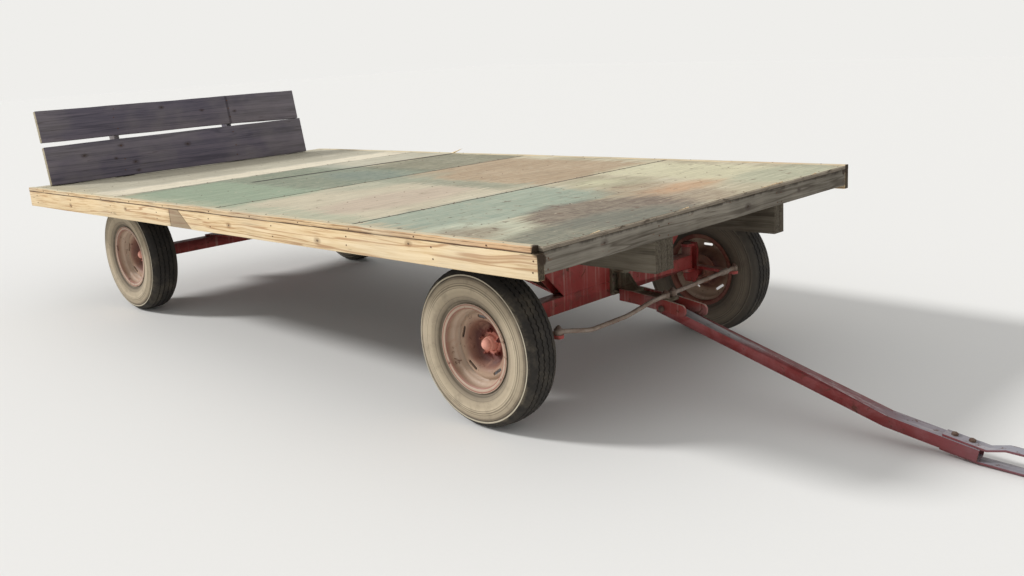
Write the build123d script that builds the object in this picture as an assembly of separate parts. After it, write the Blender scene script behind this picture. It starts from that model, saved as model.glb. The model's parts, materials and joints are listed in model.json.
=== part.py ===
"""Hay wagon: a flat timber deck on a four-wheel running gear with automotive steering.

Millimetres, +X forwards (towards the tongue), +Y to the wagon's left, +Z up.
While it is modelled, X = 0 is the deck's front edge and Z = 0 the ground.
write() then moves every sub-part so that the origin lies on the ground,
in the middle of the wagon's length with its tongue down.
"""
import os
from math import atan2, cos, degrees, radians, sin, tan

from build123d import *

os.makedirs("parts", exist_ok=True)

# Deck timbers; sheets 8 ft long lie across it between the side rails
DECK_LENGTH = 4953
DECK_WIDTH = 2514
DECK_TOP = 968
NOSE_UP = 1.64
PLY = 19
TWO_BY = 38
JOIST_HEIGHT = 89
SILL_HEIGHT = 140
SILL_PLY = 44
STRIP_HEIGHT = 28
STRIP_PROUD = 3
SIDE_RAIL_HEIGHT = 103
SEAM_GAP = 3

# Distance of each plywood seam behind the front edge
SEAM_DISTANCES = [1180, 2410, 3628, 4847]
JOIST_DISTANCES = [590, 1180, 1795, 2410, 3019, 3628, 4237, 4820]

# A split in the third sheet, open at the left-hand side and closing towards the right
SPLIT_LEFT = 3150
SPLIT_LEFT_WIDE = 12
SPLIT_END = 3277
SPLIT_END_Y = -464

# Side rails: the right-hand one is pieced with a long bevel
SPLICE_TOP = 2756
SPLICE_BOTTOM = 2617
SPLICE_FILLER = 101

# Headboard across the rear of the deck
HEADBOARD_DISTANCE = 4814
HEADBOARD_RIGHT = -1143
HEADBOARD_LEFT = 1024
HEADBOARD_LEAN = 10
HEADBOARD_FOOT = 8
LOWER_PLANK = 298
LOWER_PLANK_WORN = 282
UPPER_PLANK_FOOT = 314
UPPER_PLANK = 224
POST_CENTRES_Y = [-584, 364]
POST_TOP = 515

# Wheels: 15 inch rims with 7.60-15 tyres
TYRE_RADIUS = 376
TYRE_HALF_WIDTH = 100
WHEEL_CENTRE_Y = 905
FRONT_AXLE_X = -667
REAR_AXLE_X = -4078
RIM_FLANGE_RADIUS = 209
RIM_FLANGE_OFFSET = 80
HAND_HOLES = 5
HAND_HOLE_SIZE = (62, 14)
HAND_HOLE_PITCH_RADIUS = 136

# Axles, bolsters and reach
AXLE_TUBE = 76
AXLE_BOTTOM = 420
AXLE_TOP = AXLE_BOTTOM + AXLE_TUBE
REAR_AXLE_TOP = TYRE_RADIUS + AXLE_TUBE / 2
PLATE_THICK = 8
KINGPIN_Y = 695
KINGPIN_RADIUS = 15
STAKE_THICK = 10
STAKE_WIDE = 60
STAKE_RISE = 105
REACH_TUBE = 70
REACH_TAIL = 260
REACH_BOTTOM = REAR_AXLE_TOP

# Steering: knuckle arms and the tongue swivel are a parallelogram
ARM_REACH = 285
PIVOT_X = -582
ARM_END_Y = 725
ARM_PLATE = (415, 431)
ARM_EYE_RADIUS = 24
TIE_ROD_RADIUS = 11
ROD_EYE_RADIUS = 21
ROD_EYE_HALF = 12
INNER_EYE_PIN = 8
OUTER_EYE_PIN = 10
EYE_PIN_RISE = 15
LOOSE_PIN_CLEARANCE = 1.5
TIE_ROD_INNER_Z = 470
TIE_ROD_OUTER_Z = 445
PIVOT_PIN_RADIUS = 14
RUNNING_CLEARANCE = 0.05

# Tongue, hinged between the swivel's two bars and lying with its tip on the ground
HINGE_X = -300
HINGE_Z = 408
HINGE_PIN_RADIUS = 9
BAR_INNER_Y = 44
BAR_THICK = 12
POLE_WIDE = 76
POLE_HIGH = 51
POLE_WALL = 5
POLE_REAR_X = -334
POLE_REAR_TOP = 433
POLE_SLOPE = 15
KINK_REACH = 1200
FRONT_SLOPE = 8.1
FRONT_REACH = 382
HITCH_REACH = 675
HITCH_STRAP_THICK = 10
HITCH_STRAP_WIDE = 60
HITCH_HOLE_RADIUS = 13
HITCH_ARCH = 37

# Heights and places that follow
PLY_BOTTOM = DECK_TOP - PLY
JOIST_BOTTOM = PLY_BOTTOM - JOIST_HEIGHT
SILL_BOTTOM = JOIST_BOTTOM - SILL_HEIGHT
SHEET_SIDE_Y = DECK_WIDTH / 2 - TWO_BY
STRIP_TOP = DECK_TOP + STRIP_PROUD
RAIL_TOP = STRIP_TOP - STRIP_HEIGHT
RAIL_BOTTOM = RAIL_TOP - SIDE_RAIL_HEIGHT
WHEEL_Z = TYRE_RADIUS
ARM_END_X = FRONT_AXLE_X + ARM_REACH
ROD_INNER_X = PIVOT_X + ARM_REACH
ROD_INNER_Y = ARM_END_Y - KINGPIN_Y
KINK_X = POLE_REAR_X + KINK_REACH * cos(radians(POLE_SLOPE))
KINK_TOP = POLE_REAR_TOP - KINK_REACH * sin(radians(POLE_SLOPE))

# How far the tip's underside lies below the line of the pole's top: it rests on the ground
TIP_DROP = (KINK_TOP - HITCH_REACH * sin(radians(FRONT_SLOPE))) / cos(radians(FRONT_SLOPE))
HITCH_RISE = (POLE_HIGH + HITCH_STRAP_THICK - TIP_DROP) / (HITCH_REACH - FRONT_REACH)
ARCH_START = FRONT_REACH + 23
ARCH_TOP = FRONT_REACH + 153
UPPER_TIP = HITCH_ARCH + (HITCH_REACH - ARCH_TOP) * HITCH_RISE + HITCH_STRAP_THICK
FRONT_END_X = (
    KINK_X + HITCH_REACH * cos(radians(FRONT_SLOPE)) + UPPER_TIP * sin(radians(FRONT_SLOPE))
)

RIGHT = -1
LEFT = 1
SIDES = {"right": RIGHT, "left": LEFT}

# Each sill's centre and number of plies, from the front
SILLS = {
    # side: centre_y, plies
    RIGHT: (460, 3),
    LEFT: (510, 2),
}


def nose_up(shape):
    """Tilt what is modelled on a level deck about the deck's front top edge."""
    return Pos(0, 0, DECK_TOP) * Rot(0, -NOSE_UP, 0) * Pos(0, 0, -DECK_TOP) * shape


def nosed(x, z):
    """The place of a level deck's point once the deck stands nose-up."""
    turn = radians(NOSE_UP)
    drop = z - DECK_TOP
    return x * cos(turn) - drop * sin(turn), DECK_TOP + x * sin(turn) + drop * cos(turn)


def sill_bottom_at(x):
    """Height of the tilted sills' underside."""
    level_x, level_z = nosed(0, SILL_BOTTOM)
    return level_z + (x - level_x) * tan(radians(NOSE_UP))


def sill_outer(side):
    centre, plies = SILLS[side]
    return centre + plies * SILL_PLY / 2


REAR_END_X = min(
    nosed(
        -HEADBOARD_DISTANCE
        - (TWO_BY + JOIST_HEIGHT) * cos(radians(HEADBOARD_LEAN))
        - POST_TOP * sin(radians(HEADBOARD_LEAN)),
        DECK_TOP
        + POST_TOP * cos(radians(HEADBOARD_LEAN))
        - (TWO_BY + JOIST_HEIGHT) * sin(radians(HEADBOARD_LEAN)),
    )[0],
    nosed(-DECK_LENGTH, DECK_TOP)[0],
)
ORIGIN_X = (FRONT_END_X + REAR_END_X) / 2


def write(name, shape):
    """Move a finished sub-part to the wagon's own origin and write it."""
    export_step(Pos(-ORIGIN_X, 0, 0) * shape, f"parts/{name}.step")


def write_deck(name, shape):
    """Write a sub-part that was modelled on a level deck."""
    write(name, nose_up(shape))


def block(x0, x1, y0, y1, z0, z1):
    """A box between two corners."""
    centre = Pos((x0 + x1) / 2, (y0 + y1) / 2, (z0 + z1) / 2)
    return centre * Box(abs(x1 - x0), abs(y1 - y0), abs(z1 - z0))


def outline(points):
    return make_face(Polyline(*points, close=True))


def plan_plate(points, z0, z1):
    """An outline in plan, z0 to z1 thick."""
    return extrude(outline([(x, y, z0) for x, y in points]), amount=z1 - z0, dir=(0, 0, 1))


def side_plate(points, y0, y1):
    """An outline seen from the side, as X and Z, from y0 to y1."""
    return extrude(outline([(x, y0, z) for x, z in points]), amount=y1 - y0, dir=(0, 1, 0))


def cross_plate(points, x0, x1):
    """An outline seen from the front, as Y and Z, from x0 to x1."""
    return extrude(outline([(x0, y, z) for y, z in points]), amount=x1 - x0, dir=(1, 0, 0))


def upright(x, y, z0, z1, radius):
    """A vertical cylinder."""
    return Pos(x, y, (z0 + z1) / 2) * Cylinder(radius, z1 - z0)


def crosswise(x, y0, y1, z, radius):
    """A cylinder along Y."""
    return Pos(x, (y0 + y1) / 2, z) * Rot(90, 0, 0) * Cylinder(radius, abs(y1 - y0))


def mirrored_for(side, shape):
    """The left-hand shape as it is, or its mirror image for the right."""
    return shape if side == LEFT else mirror(shape, about=Plane.XZ)


def group(shapes):
    """Solids that share a sub-part without touching."""
    return Compound(children=[s for shape in shapes for s in shape.solids()])


# Deck
def deck_sheets():
    """Plywood sheets laid across the wagon, butted with open seams; one is split."""
    edges = [0] + SEAM_DISTANCES + [DECK_LENGTH]
    sheets = []
    for front, rear in zip(edges, edges[1:]):
        x0 = -front - SEAM_GAP / 2 if front else 0
        x1 = -rear + SEAM_GAP / 2 if rear < DECK_LENGTH else -rear
        sheet = block(x1, x0, -SHEET_SIDE_Y, SHEET_SIDE_Y, PLY_BOTTOM, DECK_TOP)
        if front < SPLIT_LEFT < rear:
            half = SPLIT_LEFT_WIDE / 2
            beyond = SHEET_SIDE_Y + 1
            sheet -= plan_plate(
                [(half - SPLIT_LEFT, beyond), (-half - SPLIT_LEFT, beyond), (-SPLIT_END, SPLIT_END_Y)],
                PLY_BOTTOM - 1,
                DECK_TOP + 1,
            )
        sheets.append(sheet)
    return group(sheets)


def cross_joists():
    half = TWO_BY / 2
    return group(
        block(-d - half, -d + half, -SHEET_SIDE_Y, SHEET_SIDE_Y, JOIST_BOTTOM, PLY_BOTTOM)
        for d in JOIST_DISTANCES
    )


def end_rail(front_x):
    return block(front_x - TWO_BY, front_x, -SHEET_SIDE_Y, SHEET_SIDE_Y, JOIST_BOTTOM, PLY_BOTTOM)


def side_rail(side, points):
    y0 = side * SHEET_SIDE_Y
    y1 = side * DECK_WIDTH / 2
    return side_plate(points, min(y0, y1), max(y0, y1))


def right_rail_front():
    return side_rail(
        RIGHT,
        [(0, RAIL_BOTTOM), (0, RAIL_TOP), (-SPLICE_TOP, RAIL_TOP), (-SPLICE_BOTTOM, RAIL_BOTTOM)],
    )


def right_rail_rear():
    """The rear length, and the short filler that closes the bevel."""
    gap = SEAM_GAP
    filler = side_rail(
        RIGHT,
        [
            (-SPLICE_BOTTOM - gap, RAIL_BOTTOM),
            (-SPLICE_TOP - gap, RAIL_TOP),
            (-SPLICE_TOP - SPLICE_FILLER, RAIL_TOP),
            (-SPLICE_TOP - SPLICE_FILLER, RAIL_BOTTOM),
        ],
    )
    length = side_rail(
        RIGHT,
        [
            (-SPLICE_TOP - SPLICE_FILLER - gap, RAIL_BOTTOM),
            (-SPLICE_TOP - SPLICE_FILLER - gap, RAIL_TOP),
            (-DECK_LENGTH, RAIL_TOP),
            (-DECK_LENGTH, RAIL_BOTTOM),
        ],
    )
    return group([filler, length])


def left_rail():
    return side_rail(
        LEFT,
        [(0, RAIL_BOTTOM), (0, RAIL_TOP), (-DECK_LENGTH, RAIL_TOP), (-DECK_LENGTH, RAIL_BOTTOM)],
    )


def edge_strip(side):
    """The rub strip on top of a side rail, standing just above the plywood."""
    y0, y1 = sorted((side * SHEET_SIDE_Y, side * DECK_WIDTH / 2))
    strip = block(-DECK_LENGTH, 0, y0, y1, RAIL_TOP, STRIP_TOP)
    return fillet(strip.edges().filter_by(Axis.X).group_by(Axis.Z)[-1], 4)


def sill(side):
    """A lengthwise beam nailed up from planks, its joints open at ends and bottom."""
    centre, plies = SILLS[side]
    y_low = side * centre - plies * SILL_PLY / 2
    y_high = y_low + plies * SILL_PLY
    beam = block(-DECK_LENGTH, 0, y_low, y_high, SILL_BOTTOM, JOIST_BOTTOM)
    groove_wide = 3
    groove_deep = 6
    for ply in range(1, plies):
        joint_y = y_low + ply * SILL_PLY
        y0 = joint_y - groove_wide / 2
        y1 = joint_y + groove_wide / 2
        beam -= block(-DECK_LENGTH, 0, y0, y1, SILL_BOTTOM, SILL_BOTTOM + groove_deep)
        beam -= block(-groove_deep, 0, y0, y1, SILL_BOTTOM, JOIST_BOTTOM)
        beam -= block(-DECK_LENGTH, -DECK_LENGTH + groove_deep, y0, y1, SILL_BOTTOM, JOIST_BOTTOM)
    return beam


# Headboard
def leaning(shape):
    """Tilt a shape built upright at the origin back over the deck."""
    return Pos(-HEADBOARD_DISTANCE, 0, DECK_TOP) * Rot(0, -HEADBOARD_LEAN, 0) * shape


def lower_plank():
    """The wide plank, worn down along its top edge towards the right."""
    edge = [
        (HEADBOARD_RIGHT, HEADBOARD_FOOT),
        (HEADBOARD_LEFT, HEADBOARD_FOOT),
        (HEADBOARD_LEFT, LOWER_PLANK),
        (HEADBOARD_RIGHT, LOWER_PLANK_WORN),
    ]
    return leaning(cross_plate(edge, -TWO_BY, 0))


def upper_plank():
    top = UPPER_PLANK_FOOT + UPPER_PLANK
    return leaning(
        block(-TWO_BY, 0, HEADBOARD_RIGHT, HEADBOARD_LEFT - 18, UPPER_PLANK_FOOT, top)
    )


def headboard_posts():
    """Two posts on edge behind the planks, cut level where they stand on the deck."""
    below = 60
    posts = []
    for y in POST_CENTRES_Y:
        post = leaning(
            block(
                -TWO_BY - JOIST_HEIGHT, -TWO_BY, y - TWO_BY / 2, y + TWO_BY / 2, -below, POST_TOP
            )
        )
        ground = block(-DECK_LENGTH, 0, y - TWO_BY, y + TWO_BY, DECK_TOP - 2 * below, DECK_TOP)
        posts.append(post - ground)
    return group(posts)


def headboard_brackets():
    """Angle brackets on both sides of each post's foot."""
    thick = 6
    foot = 52
    rear = -HEADBOARD_DISTANCE - TWO_BY - JOIST_HEIGHT + 4
    front = rear + 74
    brackets = []
    for y in POST_CENTRES_Y:
        for side in (RIGHT, LEFT):
            face = y + side * TWO_BY / 2
            back = face + side * thick
            toe = face + side * foot
            y0, y1 = sorted((face, back))
            top = DECK_TOP + 120
            web = side_plate(
                [(rear, DECK_TOP), (front, DECK_TOP), (front - 22, top), (rear - 8, top)], y0, y1
            )
            y0, y1 = sorted((face, toe))
            brackets.append(web + block(rear, front, y0, y1, DECK_TOP, DECK_TOP + thick))
    return group(brackets)


# Bolsters, axles and reach
def stakes(axle_x, foot_z):
    """Flat bars that hold the sills in on a bolster, with flared tops."""
    flare = 12
    top = sill_bottom_at(axle_x) + STAKE_RISE
    bars = None
    for side in SIDES.values():
        inner = side * sill_outer(side)
        outer = inner + side * STAKE_THICK
        bar = cross_plate(
            [
                (inner, foot_z),
                (inner, top - 30),
                (inner + side * flare, top),
                (outer + side * flare, top),
                (outer, top - 30),
                (outer, foot_z),
            ],
            axle_x - STAKE_WIDE / 2,
            axle_x + STAKE_WIDE / 2,
        )
        bars = bar if bars is None else bars + bar
    return bars


def under_sills(beam):
    """Cut a bolster off along the tilted underside of the sills."""
    return beam - nose_up(
        block(-DECK_LENGTH, 0, -DECK_WIDTH / 2, DECK_WIDTH / 2, SILL_BOTTOM, SILL_BOTTOM + STAKE_RISE)
    )


def front_bolster():
    """A folded steel bolster, deep over the axle and tapered to its ends."""
    half = AXLE_TUBE / 2
    shoulder_y = 400
    end_bottom = 624
    right_y = -sill_outer(RIGHT)
    left_y = sill_outer(LEFT)
    rear_x = FRONT_AXLE_X - half
    front_x = FRONT_AXLE_X + half
    top = sill_bottom_at(front_x)
    bay_top = sill_bottom_at(rear_x) - PLATE_THICK
    edge = [
        (right_y, top),
        (right_y, end_bottom),
        (-shoulder_y, AXLE_TOP),
        (shoulder_y, AXLE_TOP),
        (left_y, end_bottom),
        (left_y, top),
    ]
    beam = under_sills(cross_plate(edge, rear_x, front_x))
    ribs = [right_y, -330, 0, 330, left_y]
    for y0, y1 in zip(ribs, ribs[1:]):
        beam -= block(
            rear_x + PLATE_THICK,
            front_x - PLATE_THICK,
            y0 + PLATE_THICK,
            y1 - PLATE_THICK,
            AXLE_TOP - 1,
            bay_top,
        )
    return beam + stakes(FRONT_AXLE_X, end_bottom)


def rear_bolster():
    """A shallower bolster carried above the axle on two risers, clear of the reach."""
    half = AXLE_TUBE / 2
    saddle_z = REACH_BOTTOM + REACH_TUBE
    saddle_thick = 10
    riser_inner = 170
    riser_outer = 250
    rear_x = REAR_AXLE_X - half
    front_x = REAR_AXLE_X + half
    bolster_bottom = saddle_z + saddle_thick + 8
    top = sill_bottom_at(front_x)
    bay_top = sill_bottom_at(rear_x) - PLATE_THICK
    right_y = -sill_outer(RIGHT)
    left_y = sill_outer(LEFT)
    beam = under_sills(block(rear_x, front_x, right_y, left_y, bolster_bottom, top))
    for y0, y1 in ((right_y, -riser_outer), (-riser_inner, riser_inner), (riser_outer, left_y)):
        beam -= block(
            rear_x + PLATE_THICK,
            front_x - PLATE_THICK,
            y0 + PLATE_THICK,
            y1 - PLATE_THICK,
            bolster_bottom - 1,
            bay_top,
        )
    for side in SIDES.values():
        y0, y1 = sorted((side * riser_inner, side * riser_outer))
        beam += block(rear_x, front_x, y0, y1, REAR_AXLE_TOP, bolster_bottom)
    beam += block(rear_x, front_x, -riser_inner, riser_inner, saddle_z, saddle_z + saddle_thick)
    return beam + stakes(REAR_AXLE_X, bolster_bottom)


def square_tube(x0, x1, y0, y1, z0, z1, wall, along):
    """A rectangular tube, open at both ends, along X or Y."""
    outer = block(x0, x1, y0, y1, z0, z1)
    if along == "x":
        return outer - block(x0, x1, y0 + wall, y1 - wall, z0 + wall, z1 - wall)
    return outer - block(x0 + wall, x1 - wall, y0, y1, z0 + wall, z1 - wall)


def reach_pole():
    half = REACH_TUBE / 2
    front = FRONT_AXLE_X - AXLE_TUBE / 2
    rear = REAR_AXLE_X - REACH_TAIL
    return square_tube(rear, front, -half, half, REACH_BOTTOM, REACH_BOTTOM + REACH_TUBE, 6, "x")


def reach_clevis():
    """Cheek plates that hold the reach's front end to the front axle."""
    half = REACH_TUBE / 2
    front = FRONT_AXLE_X - AXLE_TUBE / 2
    mid = REACH_BOTTOM + REACH_TUBE / 2
    cheeks = []
    for side in SIDES.values():
        y0, y1 = sorted((side * half, side * (half + 10)))
        cheek = block(front - 110, front, y0, y1, mid - 30, mid + 45)
        corners = cheek.edges().filter_by(Axis.Y).group_by(Axis.X)[0]
        cheeks.append(fillet(corners, 22))
    return group(cheeks)


def hound(side, axle_face, axle_y, reach_x, foot_z):
    """A flat brace in plan from an axle to the side of the reach."""
    half = REACH_TUBE / 2
    wide = 58
    toward = 1 if reach_x > axle_face else -1
    foot = wide * 1.02
    return plan_plate(
        [
            (axle_face, side * axle_y),
            (axle_face, side * (axle_y + foot)),
            (reach_x + toward * foot * 1.6, side * half),
            (reach_x - toward * foot, side * half),
        ],
        foot_z,
        foot_z + 12,
    )


def rear_hounds():
    """Two braces that run forwards from on top of the rear axle."""
    start = REAR_AXLE_X - AXLE_TUBE / 2
    return group(
        hound(side, start, 330, REAR_AXLE_X + 900, REAR_AXLE_TOP) for side in SIDES.values()
    )


def front_hounds():
    """Two braces from the front axle's rear face back to the reach."""
    start = FRONT_AXLE_X - AXLE_TUBE / 2
    return group(
        hound(side, start, 240, FRONT_AXLE_X - 600, AXLE_BOTTOM + 20) for side in SIDES.values()
    )


def axle_beam(axle_x, end_y, top):
    half = AXLE_TUBE / 2
    return square_tube(
        axle_x - half, axle_x + half, -end_y, end_y, top - AXLE_TUBE, top, PLATE_THICK, "y"
    )


SLEEVE_RADIUS = 30
SLEEVE_TOP = 538
SLEEVE_BOTTOM = 414
SPINDLE_PLATE_INNER = KINGPIN_Y + 32
SPINDLE_PLATE_OUTER = KINGPIN_Y + 48
KNUCKLE_LUGS = [(396, 412), (540, 556)]
KINGPIN_ENDS = (388, 566)
KINGPIN_HEAD = 21


def front_axle():
    """The front beam with an upright kingpin sleeve at each end."""
    beam = axle_beam(FRONT_AXLE_X, KINGPIN_Y - 8, AXLE_TOP)
    for side in SIDES.values():
        y = side * KINGPIN_Y
        beam -= upright(FRONT_AXLE_X, y, AXLE_BOTTOM, AXLE_TOP, SLEEVE_RADIUS)
        beam += upright(FRONT_AXLE_X, y, SLEEVE_BOTTOM, SLEEVE_TOP, SLEEVE_RADIUS)
        beam -= upright(FRONT_AXLE_X, y, SLEEVE_BOTTOM - 1, SLEEVE_TOP + 1, KINGPIN_RADIUS)
    return beam


def kingpins():
    """Headed kingpins through the sleeves and the knuckle lugs."""
    pins = []
    for side in SIDES.values():
        y = side * KINGPIN_Y
        pin = upright(FRONT_AXLE_X, y, *KINGPIN_ENDS, KINGPIN_RADIUS)
        pin += upright(FRONT_AXLE_X, y, KINGPIN_ENDS[1] - 8, KINGPIN_ENDS[1], KINGPIN_HEAD)
        pins.append(pin)
    return group(pins)


# Spindle, hub and wheel share this step table: radius and offset from the wheel's centre plane
SPINDLE_ROOT = SPINDLE_PLATE_OUTER - WHEEL_CENTRE_Y
JOURNAL_INNER = 22
JOURNAL_OUTER = 16
HUB_BACK = -97
HUB_STEP = -60
HUB_POCKET = -43
DISC_SEAT = -47
DISC_THICK = 5
CAP_FACE = -8


def turned(points):
    """Revolve an outline of radius and offset about the wheel's axle, along Y."""
    return revolve(outline([(r, s, 0) for r, s in points]), axis=Axis.Y)


def spindle_plate(top):
    """The upright end plate and stepped spindle, at the wheel's centre, for the left side."""
    half = 45
    front_edge = [(30, -48), (half, -20), (half, top - 30), (36, top)]
    rear_edge = [(-x, z) for x, z in reversed(front_edge)]
    plate = side_plate(
        front_edge + rear_edge,
        SPINDLE_PLATE_INNER - WHEEL_CENTRE_Y,
        SPINDLE_PLATE_OUTER - WHEEL_CENTRE_Y,
    )
    spindle = turned(
        [
            (0, SPINDLE_ROOT),
            (36, SPINDLE_ROOT),
            (30, SPINDLE_ROOT + 12),
            (30, HUB_BACK - 4),
            (JOURNAL_INNER, HUB_BACK - 4),
            (JOURNAL_INNER, HUB_STEP - 1),
            (JOURNAL_OUTER, HUB_STEP - 1),
            (JOURNAL_OUTER, -24),
            (0, -24),
        ]
    )
    nut = Pos(0, HUB_POCKET + 1, 0) * Rot(-90, 0, 0) * extrude(RegularPolygon(20, 6), amount=14)
    return plate + spindle + nut


def hub_shape():
    """A cast hub with flange and dust cap, bored to run on the spindle."""
    body = turned(
        [
            (0, HUB_BACK),
            (44, HUB_BACK),
            (46, HUB_BACK + 12),
            (40, HUB_BACK + 22),
            (44, DISC_SEAT - 14),
            (84, DISC_SEAT - 12),
            (84, DISC_SEAT),
            (37, DISC_SEAT),
            (35, -26),
            (33, -24),
            (33, -14),
            (28, CAP_FACE),
            (0, CAP_FACE),
        ]
    )
    bore = turned(
        [
            (0, HUB_BACK - 1),
            (JOURNAL_INNER + RUNNING_CLEARANCE, HUB_BACK - 1),
            (JOURNAL_INNER + RUNNING_CLEARANCE, HUB_STEP),
            (JOURNAL_OUTER + RUNNING_CLEARANCE, HUB_STEP),
            (JOURNAL_OUTER + RUNNING_CLEARANCE, HUB_POCKET),
            (26, HUB_POCKET),
            (26, -16),
            (0, -16),
        ]
    )
    return body - bore


def rim_shape():
    """A drop-centre rim with a dished disc, hand holes near its edge."""
    flange = RIM_FLANGE_RADIUS
    edge = RIM_FLANGE_OFFSET
    wall = 5
    seat = 190
    well = 172
    barrel = turned(
        [
            (flange, edge),
            (flange, edge - wall),
            (seat, edge - 10),
            (seat - 2, edge - 32),
            (well, edge - 46),
            (well, 46 - edge),
            (seat - 2, 32 - edge),
            (seat, 10 - edge),
            (flange, wall - edge),
            (flange, -edge),
            (seat - wall, 4 - edge),
            (seat - wall - 2, 34 - edge),
            (well - wall, 48 - edge),
            (well - wall, edge - 48),
            (seat - wall - 2, edge - 34),
            (seat - wall, edge - 4),
        ]
    )
    back = [(DISC_SEAT, 38), (DISC_SEAT, 84), (-34, 98), (4, 122), (8, 150), (-4, well - wall)]
    disc = turned(
        [(r, s) for s, r in back] + [(r, s + DISC_THICK + 1.5) for s, r in reversed(back)]
    )
    slot = Rot(90, 0, 0) * extrude(SlotOverall(*HAND_HOLE_SIZE), amount=edge / 2, both=True)
    slot = Pos(0, 0, HAND_HOLE_PITCH_RADIUS) * slot
    for k in range(HAND_HOLES):
        disc -= Rot(0, k * 360 / HAND_HOLES, 0) * slot
    return barrel + disc


def tyre_shape():
    """A bias-ply tyre, open towards the rim."""
    half = TYRE_HALF_WIDTH
    bead = 190
    bead_heel = 188.8
    bead_s = RIM_FLANGE_OFFSET - 11
    flange_top = (RIM_FLANGE_RADIUS + 4, RIM_FLANGE_OFFSET - 7)
    belly = (276, half)
    shoulder = (338, half - 12)
    tread_edge = (366, 66)
    crown = (TYRE_RADIUS, 0)

    def both(point):
        return (point[0], point[1], 0), (point[0], -point[1], 0)

    (top_l, top_r), (belly_l, belly_r), (sh_l, sh_r), (edge_l, edge_r) = map(
        both, (flange_top, belly, shoulder, tread_edge)
    )
    outer = [
        Line((bead, bead_s, 0), top_l),
        ThreePointArc(top_l, belly_l, sh_l),
        Line(sh_l, edge_l),
        ThreePointArc(edge_l, (crown[0], 0, 0), edge_r),
        Line(edge_r, sh_r),
        ThreePointArc(sh_r, belly_r, top_r),
        Line(top_r, (bead, -bead_s, 0)),
    ]
    wall = 12
    inner_points = [
        (bead, -bead_s, 0),
        (bead_heel, -bead_s + 14, 0),
        (226, -half + wall + 6, 0),
        (300, -half + wall, 0),
        (348, -58, 0),
        (352, 0, 0),
        (348, 58, 0),
        (300, half - wall, 0),
        (226, half - wall - 6, 0),
        (bead_heel, bead_s - 14, 0),
        (bead, bead_s, 0),
    ]
    section = make_face(outer + [Polyline(*inner_points)])
    return revolve(section, axis=Axis.Y)


def at_wheel(shape, axle_x, side):
    """Place a left-hand wheel shape on an axle end, mirrored on the right."""
    return mirrored_for(side, Pos(axle_x, WHEEL_CENTRE_Y, WHEEL_Z) * shape)


def rear_axle():
    """The rear beam, level with the wheels' centres, with its fixed spindles."""
    beam = axle_beam(REAR_AXLE_X, SPINDLE_PLATE_INNER, REAR_AXLE_TOP)
    for side in SIDES.values():
        beam += at_wheel(spindle_plate(52), REAR_AXLE_X, side)
    return beam


def knuckle(side):
    """Spindle plate, kingpin lugs and the forward steering arm."""
    lug_radius = 32
    lugs = None
    for z0, z1 in KNUCKLE_LUGS:
        lug = upright(FRONT_AXLE_X, KINGPIN_Y, z0, z1, lug_radius)
        lug += block(
            FRONT_AXLE_X - lug_radius,
            FRONT_AXLE_X + lug_radius,
            KINGPIN_Y,
            SPINDLE_PLATE_INNER,
            z0,
            z1,
        )
        lugs = lug if lugs is None else lugs + lug
    arm_root = FRONT_AXLE_X + 25
    arm = plan_plate(
        [
            (arm_root, SPINDLE_PLATE_INNER),
            (arm_root, SPINDLE_PLATE_OUTER + 8),
            (ARM_END_X, ARM_END_Y + ARM_EYE_RADIUS),
            (ARM_END_X, ARM_END_Y - ARM_EYE_RADIUS),
            (ARM_END_X - 60, ARM_END_Y - ARM_EYE_RADIUS + 2),
            (FRONT_AXLE_X + 62, SPINDLE_PLATE_INNER - 22),
            (FRONT_AXLE_X + 45, SPINDLE_PLATE_INNER),
        ],
        *ARM_PLATE,
    )
    arm += upright(ARM_END_X, ARM_END_Y, *ARM_PLATE, ARM_EYE_RADIUS)
    body = Pos(FRONT_AXLE_X, WHEEL_CENTRE_Y, WHEEL_Z) * spindle_plate(184) + lugs + arm
    body -= upright(FRONT_AXLE_X, KINGPIN_Y, 390, 560, KINGPIN_RADIUS + RUNNING_CLEARANCE)
    body -= upright(ARM_END_X, ARM_END_Y, 410, 440, OUTER_EYE_PIN + LOOSE_PIN_CLEARANCE)
    return mirrored_for(side, body)


# Steering swivel and tie rods
BRACKET_BACK_X = FRONT_AXLE_X + AXLE_TUBE / 2
BRACKET_BACK_THICK = 14
BRACKET_HALF = 48
LOWER_LUG = (438, 452)
UPPER_LUG = (547, 561)
SWIVEL_SLEEVE_RADIUS = 28
NECK = (457, 469)
ROD_PLATE = (440, 452)


def pivot_bracket():
    """The casting on the front of the axle whose lugs hold the tongue's pivot pin."""
    front = BRACKET_BACK_X + BRACKET_BACK_THICK
    body = block(BRACKET_BACK_X, front, -BRACKET_HALF, BRACKET_HALF, 424, 578)
    body = fillet(body.edges().filter_by(Axis.X), 12)
    for z0, z1 in (LOWER_LUG, UPPER_LUG):
        body += block(front, PIVOT_X, -38, 38, z0, z1) + upright(PIVOT_X, 0, z0, z1, 38)
    body -= upright(PIVOT_X, 0, 430, 570, PIVOT_PIN_RADIUS)
    return body


def pivot_pin():
    pin = upright(PIVOT_X, 0, 428, 572, PIVOT_PIN_RADIUS)
    return pin + upright(PIVOT_X, 0, UPPER_LUG[1], 572, 22)


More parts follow.
